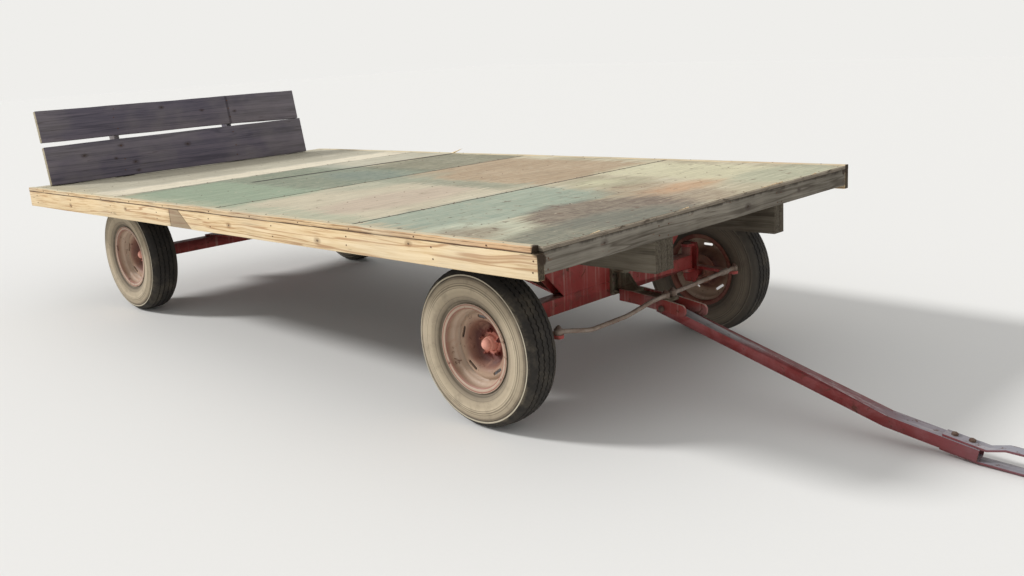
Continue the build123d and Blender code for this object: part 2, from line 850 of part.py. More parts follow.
def tongue_swivel():
    """The sleeve on the pivot pin, its neck, and the plate that carries the tie rods."""
    z0 = LOWER_LUG[1] + 2
    z1 = UPPER_LUG[0] - 2
    half = BAR_INNER_Y
    neck_front = PIVOT_X + 100
    step_x = PIVOT_X + 62
    neck_low, neck_top = NECK
    plate_low, plate_top = ROD_PLATE
    boss_top = plate_top + 5
    body = upright(PIVOT_X, 0, z0, z1, SWIVEL_SLEEVE_RADIUS)
    body += block(PIVOT_X + 10, neck_front, -half, half, neck_low, neck_top)
    body += block(step_x, neck_front, -half, half, plate_top - 1, neck_low + 1)
    body += block(step_x, ROD_INNER_X + 27, -half, half, plate_low, plate_top)
    gusset = [
        (PIVOT_X + 20, neck_top - 1),
        (PIVOT_X + 20, z1 - 6),
        (PIVOT_X + 36, z1 - 6),
        (neck_front - 4, neck_top - 1),
    ]
    for y in (-8, 8):
        body += side_plate(gusset, y - 5, y + 5)
    body -= upright(PIVOT_X, 0, z0 - 1, z1 + 1, PIVOT_PIN_RADIUS + RUNNING_CLEARANCE)
    for side in SIDES.values():
        y = side * ROD_INNER_Y
        body += upright(ROD_INNER_X, y, plate_low, boss_top, half - ROD_INNER_Y - 1)
        bore = INNER_EYE_PIN + RUNNING_CLEARANCE
        body -= upright(ROD_INNER_X, y, plate_low - 1, boss_top + 1, bore)
    return body


def swivel_bars():
    """Two flat bars from the swivel's neck, with the tongue's hinge between them."""
    bar_high = 60
    rear_x = PIVOT_X + 20
    neck_x = PIVOT_X + 100
    plate_x = ROD_INNER_X + 22
    bars = []
    for side, front_x, front_top in ((RIGHT, -165, 440), (LEFT, -110, 433)):
        top = [(rear_x, 469), (neck_x, 467), (plate_x, 453), (front_x, front_top)]
        edge = top + [(x, z - bar_high) for x, z in reversed(top)]
        y0, y1 = sorted((side * BAR_INNER_Y, side * (BAR_INNER_Y + BAR_THICK)))
        bar = side_plate(edge, y0, y1)
        nose = bar.edges().filter_by(Axis.Y).group_by(Axis.X)[-1]
        bar = fillet(nose, 26)
        bars.append(bar - crosswise(HINGE_X, -90, 90, HINGE_Z, HINGE_PIN_RADIUS))
    return group(bars)


def hinge_pin():
    reach = BAR_INNER_Y + BAR_THICK
    pin = crosswise(HINGE_X, -reach - 12, reach + 16, HINGE_Z, HINGE_PIN_RADIUS)
    pin += crosswise(HINGE_X, -reach - 12, -reach, HINGE_Z, 15)
    return pin + crosswise(HINGE_X, reach, reach + 10, HINGE_Z, 15)


def tie_rod(side):
    """A round rod with an eye at each end; the right-hand one is bent."""
    inner = (ROD_INNER_X, side * ROD_INNER_Y, TIE_ROD_INNER_Z)
    outer = (ARM_END_X, side * ARM_END_Y, TIE_ROD_OUTER_Z)
    if side == RIGHT:
        corners = [
            inner,
            (ROD_INNER_X + 2, side * 140, TIE_ROD_INNER_Z - 3),
            (ROD_INNER_X - 5, side * 330, TIE_ROD_INNER_Z - 34),
            (ROD_INNER_X - 7, side * 590, TIE_ROD_OUTER_Z - 12),
            outer,
        ]
        path = FilletPolyline(*corners, radius=(200, 200, 90))
    else:
        path = Line(inner, outer)
    start = Plane(origin=path @ 0, z_dir=path % 0)
    body = sweep(start * Circle(TIE_ROD_RADIUS), path=path)
    pins = (
        (inner, ROD_PLATE[0] - 4, INNER_EYE_PIN),
        (outer, ARM_PLATE[0] - 6, OUTER_EYE_PIN),
    )
    for (x, y, z), pin_foot, pin_radius in pins:
        body += upright(x, y, z - ROD_EYE_HALF, z + ROD_EYE_HALF, ROD_EYE_RADIUS)
        body += upright(x, y, pin_foot, z + EYE_PIN_RISE, pin_radius)
    if side == LEFT:
        clamp = path @ 0.83
        along = Plane(origin=clamp, z_dir=path % 0)
        body += extrude(along * Circle(17), amount=30, both=True)
    return body


# Tongue
def along_front(shape):
    """Place a shape built along +X from the top of the kink, dropping forwards."""
    return Pos(KINK_X, 0, KINK_TOP) * Rot(0, FRONT_SLOPE, 0) * shape


def pole_outline(inset):
    """Side view of the kinked pole, all round by inset inside its skin."""
    bend = (POLE_SLOPE - FRONT_SLOPE) / 2
    rear = radians(POLE_SLOPE)
    front = radians(FRONT_SLOPE)
    middle = radians((POLE_SLOPE + FRONT_SLOPE) / 2)

    def rows(depth):
        slant = depth / cos(radians(bend))
        return [
            (POLE_REAR_X - depth * sin(rear), POLE_REAR_TOP - depth * cos(rear)),
            (KINK_X - slant * sin(middle), KINK_TOP - slant * cos(middle)),
            (
                KINK_X + FRONT_REACH * cos(front) - depth * sin(front),
                KINK_TOP - FRONT_REACH * sin(front) - depth * cos(front),
            ),
        ]

    return rows(inset) + rows(POLE_HIGH - inset)[::-1]


def tongue_pole():
    """A rectangular tube with a kink, and washers where the hinge pin goes through."""
    half = POLE_WIDE / 2
    washer = 5
    tube = side_plate(pole_outline(0), -half, half)
    tube -= side_plate(pole_outline(POLE_WALL), POLE_WALL - half, half - POLE_WALL)
    for side in SIDES.values():
        tube += crosswise(HINGE_X, side * half, side * (half + washer), HINGE_Z, 14)
    return tube - crosswise(HINGE_X, -90, 90, HINGE_Z, HINGE_PIN_RADIUS + RUNNING_CLEARANCE)


def hitch_straps():
    """An arched upper and a flat lower strap on the pole's front end, forming the hitch jaw."""
    half = HITCH_STRAP_WIDE / 2
    start = FRONT_REACH - 150
    tip = HITCH_REACH
    pin_x = tip - half
    thick = HITCH_STRAP_THICK
    upper = [
        (start, 0),
        (ARCH_START, 0),
        (FRONT_REACH + 90, HITCH_ARCH * 0.78),
        (ARCH_TOP, HITCH_ARCH),
        (tip, UPPER_TIP - thick),
    ]
    lower = [
        (start, -POLE_HIGH - thick),
        (FRONT_REACH, -POLE_HIGH - thick),
        (tip, -TIP_DROP),
    ]
    rounded = plan_plate([(start, -half), (pin_x, -half), (pin_x, half), (start, half)], -120, 90)
    rounded += upright(pin_x, 0, -120, 90, half)
    tip_turn = degrees(atan2(HITCH_RISE, 1))
    hole = Pos(pin_x, 0, 0) * Rot(0, -tip_turn, 0) * Cylinder(HITCH_HOLE_RADIUS, 300)
    straps = []
    for row in (upper, lower):
        edge = row + [(x, z + thick) for x, z in reversed(row)]
        strap = side_plate(edge, -half, half) & rounded
        straps.append(along_front(strap - hole))
    return group(straps)


def main():
    write_deck("deck_sheets", deck_sheets())
    write_deck("cross_joists", cross_joists())
    write_deck("front_rail", end_rail(0))
    write_deck("rear_rail", end_rail(TWO_BY - DECK_LENGTH))
    write_deck("side_rail_right_front", right_rail_front())
    write_deck("side_rail_right_rear", right_rail_rear())
    write_deck("side_rail_left", left_rail())
    write_deck("headboard_plank_lower", lower_plank())
    write_deck("headboard_plank_upper", upper_plank())
    write_deck("headboard_posts", headboard_posts())
    write_deck("headboard_brackets", headboard_brackets())
    write("front_bolster", front_bolster())
    write("rear_bolster", rear_bolster())
    write("reach_pole", reach_pole())
    write("reach_clevis", reach_clevis())
    write("rear_hounds", rear_hounds())
    write("front_hounds", front_hounds())
    write("front_axle", front_axle())
    write("kingpins", kingpins())
    write("rear_axle", rear_axle())
    write("pivot_bracket", pivot_bracket())
    write("pivot_pin", pivot_pin())
    write("tongue_swivel", tongue_swivel())
    write("swivel_bars", swivel_bars())
    write("tongue_pole", tongue_pole())
    write("hinge_pin", hinge_pin())
    write("hitch_straps", hitch_straps())
    for name, side in SIDES.items():
        write_deck(f"edge_strip_{name}", edge_strip(side))
        write_deck(f"sill_{name}", sill(side))
        write(f"knuckle_{name}", knuckle(side))
        write(f"tie_rod_{name}", tie_rod(side))
        for axle, axle_x in (("front", FRONT_AXLE_X), ("rear", REAR_AXLE_X)):
            write(f"tyre_{axle}_{name}", at_wheel(tyre_shape(), axle_x, side))
            write(f"rim_{axle}_{name}", at_wheel(rim_shape(), axle_x, side))
            write(f"hub_{axle}_{name}", at_wheel(hub_shape(), axle_x, side))


main()
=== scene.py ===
"""Looks of the hay wagon: weathered timber deck on a faded red four-wheel running gear."""
import json
import random
from math import atan2, cos, hypot, radians, sin, sqrt, tau

import bmesh
import bpy
from mathutils import Matrix, Vector, noise

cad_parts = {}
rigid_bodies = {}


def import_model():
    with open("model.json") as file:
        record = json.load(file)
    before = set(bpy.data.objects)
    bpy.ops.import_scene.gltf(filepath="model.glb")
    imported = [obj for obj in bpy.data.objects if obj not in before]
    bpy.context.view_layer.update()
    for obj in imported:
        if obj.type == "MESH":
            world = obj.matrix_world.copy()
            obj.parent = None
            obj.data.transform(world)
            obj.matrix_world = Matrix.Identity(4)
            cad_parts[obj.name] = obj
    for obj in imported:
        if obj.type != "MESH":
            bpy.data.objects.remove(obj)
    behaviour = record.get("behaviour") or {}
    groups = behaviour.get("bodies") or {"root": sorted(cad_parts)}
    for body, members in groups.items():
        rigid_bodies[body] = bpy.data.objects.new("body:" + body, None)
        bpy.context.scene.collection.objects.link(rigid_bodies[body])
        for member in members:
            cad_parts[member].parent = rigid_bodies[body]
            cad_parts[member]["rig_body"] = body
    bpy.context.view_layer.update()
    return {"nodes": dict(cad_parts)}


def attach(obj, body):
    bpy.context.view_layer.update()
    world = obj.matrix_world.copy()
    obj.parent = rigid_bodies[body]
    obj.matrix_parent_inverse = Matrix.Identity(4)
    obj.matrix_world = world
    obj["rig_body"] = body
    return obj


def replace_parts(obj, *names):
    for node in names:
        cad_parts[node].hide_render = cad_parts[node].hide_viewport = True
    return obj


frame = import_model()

# The wander of worn timber is the same in every run
noise.seed_set(12)

# Places repeated from the part's source, in metres; X is measured from the wagon's middle
FRONT_X = 1.769037
DECK_TOP = 0.968
NOSE_UP = radians(1.64)
SHEET_SIDE = 1.219
DECK_SIDE = 1.257
FRONT_AXLE_X = FRONT_X - 0.667
REAR_AXLE_X = FRONT_X - 4.078
WHEEL_Y = 0.905
WHEEL_Z = 0.376
TYRE_RADIUS = 0.376
JOISTS = [0.590, 1.180, 1.795, 2.410, 3.019, 3.628, 4.237, 4.820]
SEAMS = [1.180, 2.410, 3.628, 4.847]
HEADBOARD = 4.814
LEAN = radians(10)
POSTS = [-0.584, 0.364]

# Level deck coordinates, X from the front edge and Z from the deck's top, to the wagon's own
DECK = Matrix.Translation((FRONT_X, 0, DECK_TOP)) @ Matrix.Rotation(-NOSE_UP, 4, "Y")
BOARD = DECK @ Matrix.Translation((-HEADBOARD, 0, 0)) @ Matrix.Rotation(-LEAN, 4, "Y")

WHEELS = {
    # wheel: axle_x, side
    "front_right": (FRONT_AXLE_X, -1),
    "front_left": (FRONT_AXLE_X, 1),
    "rear_right": (REAR_AXLE_X, -1),
    "rear_left": (REAR_AXLE_X, 1),
}


def tone(red, green, blue):
    """A colour as the eye reads it, 0 to 255, turned to the light it stands for."""
    parts = []
    for value in (red, green, blue):
        share = value / 255
        parts.append(share / 12.92 if share <= 0.04045 else ((share + 0.055) / 1.055) ** 2.4)
    return (*parts, 1.0)


class Finish:
    """A material, built up by short calls that each add a node or two."""

    def __init__(self, name, metallic=0.0, specular=0.35):
        self.material = bpy.data.materials.new(name)
        self.material.use_nodes = True
        self.tree = self.material.node_tree
        self.shader = self.tree.nodes["Principled BSDF"]
        self.shader.inputs["Metallic"].default_value = metallic
        self.shader.inputs["Specular IOR Level"].default_value = specular
        self.place = self.add("ShaderNodeTexCoord").outputs["Object"]
        self.normal = self.add("ShaderNodeNewGeometry").outputs["Normal"]

    def add(self, kind, **settings):
        node = self.tree.nodes.new(kind)
        for key, value in settings.items():
            setattr(node, key, value)
        return node

    def feed(self, socket, value):
        if isinstance(value, bpy.types.NodeSocket):
            self.tree.links.new(value, socket)
        else:
            socket.default_value = tone(*value) if socket.type == "RGBA" else value

    def mapped(self, scale=(1, 1, 1), turn=(0, 0, 0), shift=(0, 0, 0), source=None):
        node = self.add("ShaderNodeMapping")
        self.feed(node.inputs["Vector"], source or self.place)
        node.inputs["Location"].default_value = shift
        node.inputs["Rotation"].default_value = turn
        node.inputs["Scale"].default_value = scale
        return node.outputs["Vector"]

    def deck_level(self):
        """Coordinates on a level deck: X from its front edge, Z from its top."""
        front = FRONT_X * cos(NOSE_UP) + DECK_TOP * sin(NOSE_UP)
        top = DECK_TOP * cos(NOSE_UP) - FRONT_X * sin(NOSE_UP)
        return self.mapped(turn=(0, NOSE_UP, 0), shift=(-front, 0, -top))

    def mottle(self, vector, scale=1.0, detail=4.0, rough=0.55, warp=0.0, colour=False):
        node = self.add("ShaderNodeTexNoise")
        self.feed(node.inputs["Vector"], vector)
        node.inputs["Scale"].default_value = scale
        node.inputs["Detail"].default_value = detail
        node.inputs["Roughness"].default_value = rough
        node.inputs["Distortion"].default_value = warp
        return node.outputs["Color" if colour else "Fac"]

    def grain(self, vector, scale, detail, rough=0.55, warp=0.0):
        """Noise with its own scale along each axis."""
        return self.mottle(self.mapped(scale=scale, source=vector), 1.0, detail, rough, warp)

    def cells(self, vector, scale):
        node = self.add("ShaderNodeTexVoronoi")
        self.feed(node.inputs["Vector"], vector)
        node.inputs["Scale"].default_value = scale
        return node.outputs["Distance"]

    def sum(self, kind, first, second=0.0, third=0.0):
        node = self.add("ShaderNodeMath", operation=kind)
        for socket, value in zip(node.inputs, (first, second, third)):
            self.feed(socket, value)
        return node.outputs[0]

    def part(self, first, share, second, other):
        """Two values added up, each times its own share."""
        return self.sum("ADD", self.sum("MULTIPLY", first, share), self.sum("MULTIPLY", second, other))

    def off(self, value, middle):
        """How far a value lies from a middle one, to either side."""
        return self.sum("ABSOLUTE", self.sum("SUBTRACT", value, middle))

    def vector(self, kind, first, second=(0, 0, 0)):
        node = self.add("ShaderNodeVectorMath", operation=kind)
        self.feed(node.inputs[0], first)
        self.feed(node.inputs[1], second)
        return node.outputs["Value" if kind == "LENGTH" else "Vector"]

    def scaled(self, vector, factor):
        node = self.add("ShaderNodeVectorMath", operation="SCALE")
        self.feed(node.inputs[0], vector)
        node.inputs["Scale"].default_value = factor
        return node.outputs["Vector"]

    def axes(self, vector):
        node = self.add("ShaderNodeSeparateXYZ")
        self.feed(node.inputs[0], vector)
        return node.outputs[0], node.outputs[1], node.outputs[2]

    def up(self):
        """How far a surface faces upwards."""
        return self.axes(self.normal)[2]

    def step(self, value, low, high, start=0.0, end=1.0):
        """Goes smoothly from start to end while value goes from low to high."""
        node = self.add("ShaderNodeMapRange", interpolation_type="SMOOTHSTEP")
        self.feed(node.inputs["Value"], value)
        for key, number in (("From Min", low), ("From Max", high), ("To Min", start), ("To Max", end)):
            node.inputs[key].default_value = number
        return node.outputs["Result"]

    def ramp(self, value, *stops):
        node = self.add("ShaderNodeValToRGB")
        self.feed(node.inputs["Fac"], value)
        band = node.color_ramp
        while len(band.elements) < len(stops):
            band.elements.new(0.5)
        for element, (where, colour) in zip(band.elements, stops):
            element.position = where
            element.color = tone(*colour)
        return node.outputs["Color"]

    def mix(self, share, under, over, how="MIX"):
        node = self.add("ShaderNodeMix", data_type="RGBA", blend_type=how)
        self.feed(node.inputs["Factor"], share)
        self.feed(node.inputs[6], under)
        self.feed(node.inputs[7], over)
        return node.outputs[2]

    def over(self, colour, tint, value, none, full, share=1.0):
        """Lay a tint over a colour: nothing of it where value is at none, its share at full."""
        return self.mix(self.step(value, none, full, 0.0, share), colour, tint)

    def lump(self, height, strength, depth):
        node = self.add("ShaderNodeBump")
        node.inputs["Strength"].default_value = strength
        node.inputs["Distance"].default_value = depth
        self.feed(node.inputs["Height"], height)
        return node.outputs["Normal"]

    def done(self, colour, roughness, normal):
        self.feed(self.shader.inputs["Base Color"], colour)
        self.feed(self.shader.inputs["Roughness"], roughness)
        self.feed(self.shader.inputs["Normal"], normal)
        return self.material


# Timber
PALE_GREY = (188, 180, 164)
DARK_CRACK = (58, 46, 36)
KNOT_BROWN = (132, 96, 64)
KNOT_GREY = (66, 54, 52)
# How far the edges of knots, stains and painted shade wander, in metres
KNOT_WANDER = 0.012
# The right rail's splice at the deck's top, its slope, and the far end of its filler
SPLICE_X = -2.790
SPLICE_SLOPE = -1.35
FILLER_END = -2.859


def timber(name, along, pale, middle, dark, knots=(), stains_and_shade=(), grey=0.35, fleck=0.0, checked=0.5,
           knot_tone=KNOT_BROWN, ends_tones=None, mark=None):
    """Sawn and weathered wood: fibres along one axis, checks, knots and grey end grain."""
    ends_tones = ends_tones or (dark, middle, middle)
    wood = Finish(name, specular=0.2)
    level = wood.deck_level()
    stretch = [1.0 if axis == along else 30.0 for axis in "XYZ"]

    wavy = wood.mottle(level, 1.4, 2, colour=True)
    swept = wood.vector("ADD", level, wood.scaled(wavy, 0.03))

    def drawn_out(scale, *numbers):
        """Noise drawn out along the fibres."""
        return wood.grain(swept, [scale * s for s in stretch], *numbers)

    fibres = drawn_out(4, 8, 0.62, 0.4)
    bands = drawn_out(0.35, 3, 0.5, 0.9)
    checks = drawn_out(0.8, 2, 0.5)
    broad = wood.mottle(level, 2.6, 3, 0.6)
    lengthways = [0.9 if axis == along else 5.0 for axis in "XYZ"]
    board = wood.grain(level, lengthways, 2)
    mixed = wood.part(fibres, 0.5, bands, 0.5)
    colour = wood.ramp(mixed, (0.37, dark), (0.47, middle), (0.6, pale))
    colour = wood.over(colour, dark, wood.off(bands, 0.52), 0.024, 0.004, 0.75)
    weathered = wood.sum("ADD", broad, wood.sum("MULTIPLY", board, 0.5))
    colour = wood.over(colour, PALE_GREY, weathered, 0.62, 0.92, grey)
    check = wood.step(wood.off(checks, 0.5), 0.010, 0.002)
    check = wood.sum("MULTIPLY", check, wood.step(broad, 0.5, 0.64, 0.0, checked))
    colour = wood.mix(check, colour, DARK_CRACK)
    ragged = wood.vector("ADD", level, wood.scaled(wood.mottle(level, 30, 2, colour=True), KNOT_WANDER))

    def away_from(x, y, z):
        half = KNOT_WANDER / 2
        return wood.vector("SUBTRACT", ragged, (x + half, y + half, z + half))

    squeeze = [0.6 if axis == along else 1.0 for axis in "XYZ"]
    for x, y, z, size in knots:
        spread = wood.vector("LENGTH", wood.vector("MULTIPLY", away_from(x, y, z), squeeze))
        colour = wood.over(colour, knot_tone, spread, size * 2.6, size, 0.5)
        colour = wood.over(colour, DARK_CRACK, spread, size * 0.8, size * 0.45, 0.7)
    if fleck:
        spots = wood.mottle(wood.mapped(scale=[2.2 * sqrt(s) for s in stretch], source=level), 4.0, 5, 0.7)
        colour = wood.over(colour, (112, 74, 54), spots, 0.62, 0.7, fleck)
    if mark:
        colour = mark(wood, level, colour, fibres)
    ends = wood.sum("ABSOLUTE", wood.axes(wood.normal)["XYZ".index(along)])
    rings = wood.mottle(level, 46, 3, 0.6, 2.0)
    end_colour = wood.ramp(rings, (0.35, ends_tones[0]), (0.6, ends_tones[1]), (0.8, ends_tones[2]))
    colour = wood.over(colour, end_colour, ends, 0.75, 0.9)
    # Dark patches, stains and painted shade alike
    for x, y, z, size in stains_and_shade:
        spread = wood.vector("LENGTH", away_from(x, y, z))
        colour = wood.over(colour, DARK_CRACK, spread, size, size * 0.6, 0.95)
    bump = wood.lump(wood.sum("SUBTRACT", mixed, check), 0.55, 0.0022)
    rough = wood.step(fibres, 0.3, 0.7, 0.92, 0.78)
    return wood.done(colour, rough, bump)


def strip_wear_and_shade(wood, level, colour, fibres):
    """The rub strip's top keeps pale deck paint, and painted shade darkens the joint below it."""
    x, _, height = wood.axes(level)
    colour = wood.over(colour, (196, 142, 96), x, -1.1, -0.1, 0.4)
    kept = wood.sum("MULTIPLY", wood.step(wood.up(), 0.5, 0.8, 0.0, 0.75), wood.step(fibres, 0.36, 0.5))
    colour = wood.mix(kept, colour, (196, 192, 168))
    # Painted shade: a dark band along the joint under the strip
    joint = wood.sum("MULTIPLY_ADD", fibres, 0.012, height)
    colour = wood.over(colour, (74, 54, 40), joint, -0.0110, -0.0160, 0.9)
    crack = wood.off(wood.sum("MULTIPLY_ADD", fibres, 0.018, height), 0.004)
    return wood.over(colour, (120, 82, 56), crack, 0.0022, 0.0006, 0.75)


def under_the_sheet(wood, level, colour, _fibres):
    """Dirt and shade in a ragged band right under the first sheet's overhanging edge."""
    band = wood.grain(level, (1, 7, 1), 6, 0.75)
    reach = wood.sum("MULTIPLY_ADD", band, 0.06, wood.axes(level)[2])
    return wood.over(colour, (52, 45, 38), reach, -0.004, 0.012, 0.8)


def post_mark(wood, level, colour, _fibres):
    """A dark upright line on the upper plank where it lies against the left post."""
    _, across, height = wood.axes(level)
    line = wood.step(wood.off(across, POSTS[1]), 0.016, 0.005, 0.0, 0.6)
    return wood.mix(wood.sum("MULTIPLY", line, wood.step(height, 0.28, 0.32)), colour, (58, 52, 58))


def splice_filler(wood, level, colour, _fibres):
    """The short grey filler behind the right rail's bevelled splice."""
    x, across, height = wood.axes(level)
    bevel = wood.sum("SUBTRACT", x, wood.sum("MULTIPLY_ADD", height, SPLICE_SLOPE, SPLICE_X))
    behind = wood.step(x, FILLER_END - 0.002, FILLER_END + 0.002, 0.0, 0.75)
    inside = wood.sum("MULTIPLY", wood.step(bevel, 0.002, -0.002), behind)
    inside = wood.sum("MULTIPLY", inside, wood.step(across, 0.1, -0.1))
    return wood.mix(inside, colour, (136, 118, 98))


# What is left of the deck's paint, patch by patch
PATCHES = [
    # name, distance, y, half_length, half_width, rounded, colour, share
    ("second sheet worn to tan", 1.80, 0.58, 0.62, 0.50, False, (170, 145, 118), 0.9),
    ("second sheet, right, cream", 1.80, -0.64, 0.61, 0.54, False, (198, 188, 165), 0.85),
    ("pinkish worn streak", 1.62, -0.60, 0.24, 0.48, True, (190, 171, 153), 0.82),
    ("second sheet, green band", 1.85, -0.03, 0.60, 0.10, False, (138, 142, 124), 0.85),
    ("second sheet, grey at its rear", 2.26, -0.10, 0.17, 0.42, True, (158, 162, 142), 0.7),
    ("second sheet, green near edge", 1.80, -1.14, 0.61, 0.07, False, (166, 173, 149), 0.7),
    ("first sheet, right, sage", 0.88, -0.58, 0.31, 0.60, False, (147, 162, 147), 0.92),
    ("first sheet, left, cream", 0.62, 0.82, 0.60, 0.28, False, (207, 202, 170), 0.85),
    ("pale green by the left corner", 0.18, 0.88, 0.20, 0.40, True, (164, 166, 144), 0.8),
    ("mottled olive", 0.88, 0.28, 0.26, 0.21, True, (158, 152, 126), 0.75),
    ("cream spots in the olive", 0.94, 0.25, 0.10, 0.13, True, (202, 199, 164), 0.7),
    ("brown worn middle", 0.24, 0.02, 0.26, 0.24, True, (152, 134, 114), 0.85),
    ("dusty brown behind the stain", 0.60, 0.12, 0.13, 0.26, True, (152, 130, 106), 0.7),
    ("orange stain", 0.40, 0.28, 0.11, 0.27, True, (192, 150, 114), 0.8),
    ("corner worn smooth", 0.25, -0.48, 0.38, 0.42, True, (111, 97, 87), 0.95),
    ("grey by the front edge", 0.08, -0.80, 0.22, 0.56, True, (116, 118, 106), 0.95),
    ("pale arc round a stain", 0.50, -1.13, 0.23, 0.29, True, (190, 194, 172), 0.9),
    ("the stain itself", 0.48, -1.20, 0.15, 0.20, True, (146, 132, 112), 0.92),
    ("third sheet, sage", 3.02, -0.35, 0.61, 0.76, False, (116, 130, 114), 0.92),
    ("third sheet, left, olive", 2.78, 0.76, 0.37, 0.44, False, (122, 122, 104), 0.9),
    ("third sheet, left rear, pale", 3.42, 0.74, 0.21, 0.48, False, (190, 187, 170), 0.75),
    ("third sheet, bluish middle", 2.75, 0.05, 0.36, 0.20, True, (120, 132, 124), 0.6),
    ("third sheet, right, greener", 2.95, -0.88, 0.60, 0.36, False, (150, 165, 141), 0.85),
    ("cream beyond the third sheet", 3.80, 0.00, 0.17, 1.22, False, (232, 222, 200), 0.92),
    ("rear sheets", 4.42, 0.10, 0.50, 1.20, False, (180, 176, 160), 0.75),
]
# How far a patch's edges wander, in metres
PATCH_WANDER = 0.18
# The split in the third sheet: its distance at the left side and its slant
SPLIT_AT = 3.150
SPLIT_SLANT = 0.0755
# How dark each seam between the sheets is
SEAM_DEPTHS = [0.95, 0.85, 0.5, 0.4]
# Two plies of a sheet together
PLY_PITCH = 0.0054


def painted_patches(ply, level, colour, left_on):
    """Each patch of paint, its edges wandering and drawn out along the sheets' grain."""
    shake = ply.scaled(ply.mottle(level, 5, 6, 0.7, colour=True), PATCH_WANDER)
    feather = ply.grain(level, (48, 2.2, 1), 5, 0.7)
    drawn = ply.add("ShaderNodeCombineXYZ")
    ply.feed(drawn.inputs[1], ply.sum("MULTIPLY_ADD", feather, 0.5, -0.25))
    shaken = ply.vector("ADD", ply.vector("ADD", level, shake), drawn.outputs[0])
    half = PATCH_WANDER / 2
    for _, distance, y, half_long, half_wide, rounded, shade, share in PATCHES:
        away = ply.vector("SUBTRACT", shaken, (half - distance, y + half, half))
        away = ply.vector("MULTIPLY", away, (1 / half_long, 1 / half_wide, 0))
        edge = (0.07 if rounded else 0.03) / min(half_long, half_wide)
        if rounded:
            spread = ply.vector("LENGTH", away)
        else:
            along, across, _ = ply.axes(ply.vector("ABSOLUTE", away))
            spread = ply.sum("MAXIMUM", along, across)
        inside = ply.step(spread, 1 + edge, 1 - edge, 0.0, share)
        colour = ply.mix(ply.sum("MULTIPLY", inside, left_on), colour, shade)
    return colour


def seams_and_split(ply, x, across, colour, fine):
    """The dark joints between the sheets, and painted shade along the slanting split in the third one."""
    wobble = ply.sum("MULTIPLY_ADD", fine, 0.012, -0.006)
    for seam, deep in zip(SEAMS, SEAM_DEPTHS):
        gap = ply.sum("ABSOLUTE", ply.sum("ADD", ply.sum("ADD", x, seam), wobble))
        colour = ply.over(colour, (52, 46, 38), gap, 0.012, 0.005, deep)
    slant = ply.sum("MULTIPLY_ADD", across, -SPLIT_SLANT, SPLIT_SLANT * SHEET_SIDE + SPLIT_AT)
    gap = ply.sum("ABSOLUTE", ply.sum("ADD", ply.sum("ADD", x, slant), wobble))
    # Painted shade: a broad dark band along the split, wider than the cut itself
    split = ply.sum("MULTIPLY", ply.step(gap, 0.030, 0.017, 0.0, 0.96), ply.step(across, -0.47, -0.44))
    return ply.mix(split, colour, (34, 30, 26))


def cut_edges(ply, level, x, height):
    """What a sheet's cut edge shows: plies, torn places, painted shade on the walls inside the gaps, and a
    darker lower part.
    """
    plies = ply.sum("SINE", ply.sum("MULTIPLY", height, tau / PLY_PITCH))
    plies = ply.sum("MULTIPLY_ADD", plies, 0.5, 0.5)
    layers = ply.ramp(plies, (0.3, (140, 126, 108)), (0.7, (178, 167, 150)))
    torn = ply.grain(level, (1, 9, 60), 4, 0.7)
    layers = ply.over(layers, (66, 54, 42), torn, 0.55, 0.62, 0.85)
    layers = ply.over(layers, (190, 180, 160), torn, 0.46, 0.40, 0.5)
    # Painted shade: every cut edge behind the deck's front edge, as inside the gaps, turns dark
    layers = ply.over(layers, (46, 38, 30), x, -0.02, -0.04, 0.85)
    return ply.over(layers, (86, 78, 68), height, -0.004, -0.010, 0.6)


def deck_face():
    """Old plywood with worn paint, one named patch at a time, dark seams and plies on its edges."""
    ply = Finish("sage_deck_paint", specular=0.25)
    level = ply.deck_level()
    x, across, height = ply.axes(level)
    fibres = ply.grain(level, (95, 3.2, 40), 7, 0.65, 0.5)
    broad = ply.mottle(level, 1.9, 4, 0.6)
    fine = ply.mottle(level, 22, 6, 0.7)
    streaks = ply.grain(level, (9, 1.1, 1), 5, 0.7, 0.6)
    colour = ply.ramp(
        ply.part(broad, 0.55, streaks, 0.45),
        (0.36, (158, 148, 124)),
        (0.5, (186, 176, 150)),
        (0.64, (208, 200, 176)),
    )
    left_on = ply.step(ply.sum("ADD", fine, ply.sum("MULTIPLY", fibres, 0.6)), 0.6, 0.9, 1.0, 0.74)
    colour = painted_patches(ply, level, colour, left_on)
    dirt = ply.mottle(level, 7, 6, 0.72)
    colour = ply.over(colour, (122, 112, 92), dirt, 0.56, 0.74, 0.5)
    worn_through = ply.mottle(level, 15, 5, 0.7, 0.6)
    colour = ply.over(colour, (208, 196, 172), worn_through, 0.63, 0.7, 0.6)
    blots = ply.step(ply.mottle(ply.mapped(shift=(7, 4, 0), source=level), 12, 4, 0.65), 0.61, 0.67)
    on_first_sheet = ply.step(x, -1.3, -0.9, 0.0, 0.7)
    colour = ply.mix(ply.sum("MULTIPLY", blots, on_first_sheet), colour, (104, 82, 68))
    specks = ply.mottle(ply.mapped(shift=(3, 1, 0), source=level), 26, 3, 0.6)
    colour = ply.over(colour, (96, 70, 54), specks, 0.67, 0.71, 0.8)
    grain = ply.step(fibres, 0.38, 0.62, 0.84, 1.1)
    colour = ply.mix(1.0, colour, grain, "MULTIPLY")
    colour = seams_and_split(ply, x, across, colour, fine)
    colour = ply.over(cut_edges(ply, level, x, height), colour, ply.up(), 0.5, 0.8)
    bump = ply.lump(ply.part(fibres, 0.6, fine, 0.4), 0.5, 0.0018)
    rough = ply.step(fine, 0.3, 0.7, 0.86, 0.68)
    return ply.done(colour, rough, bump)


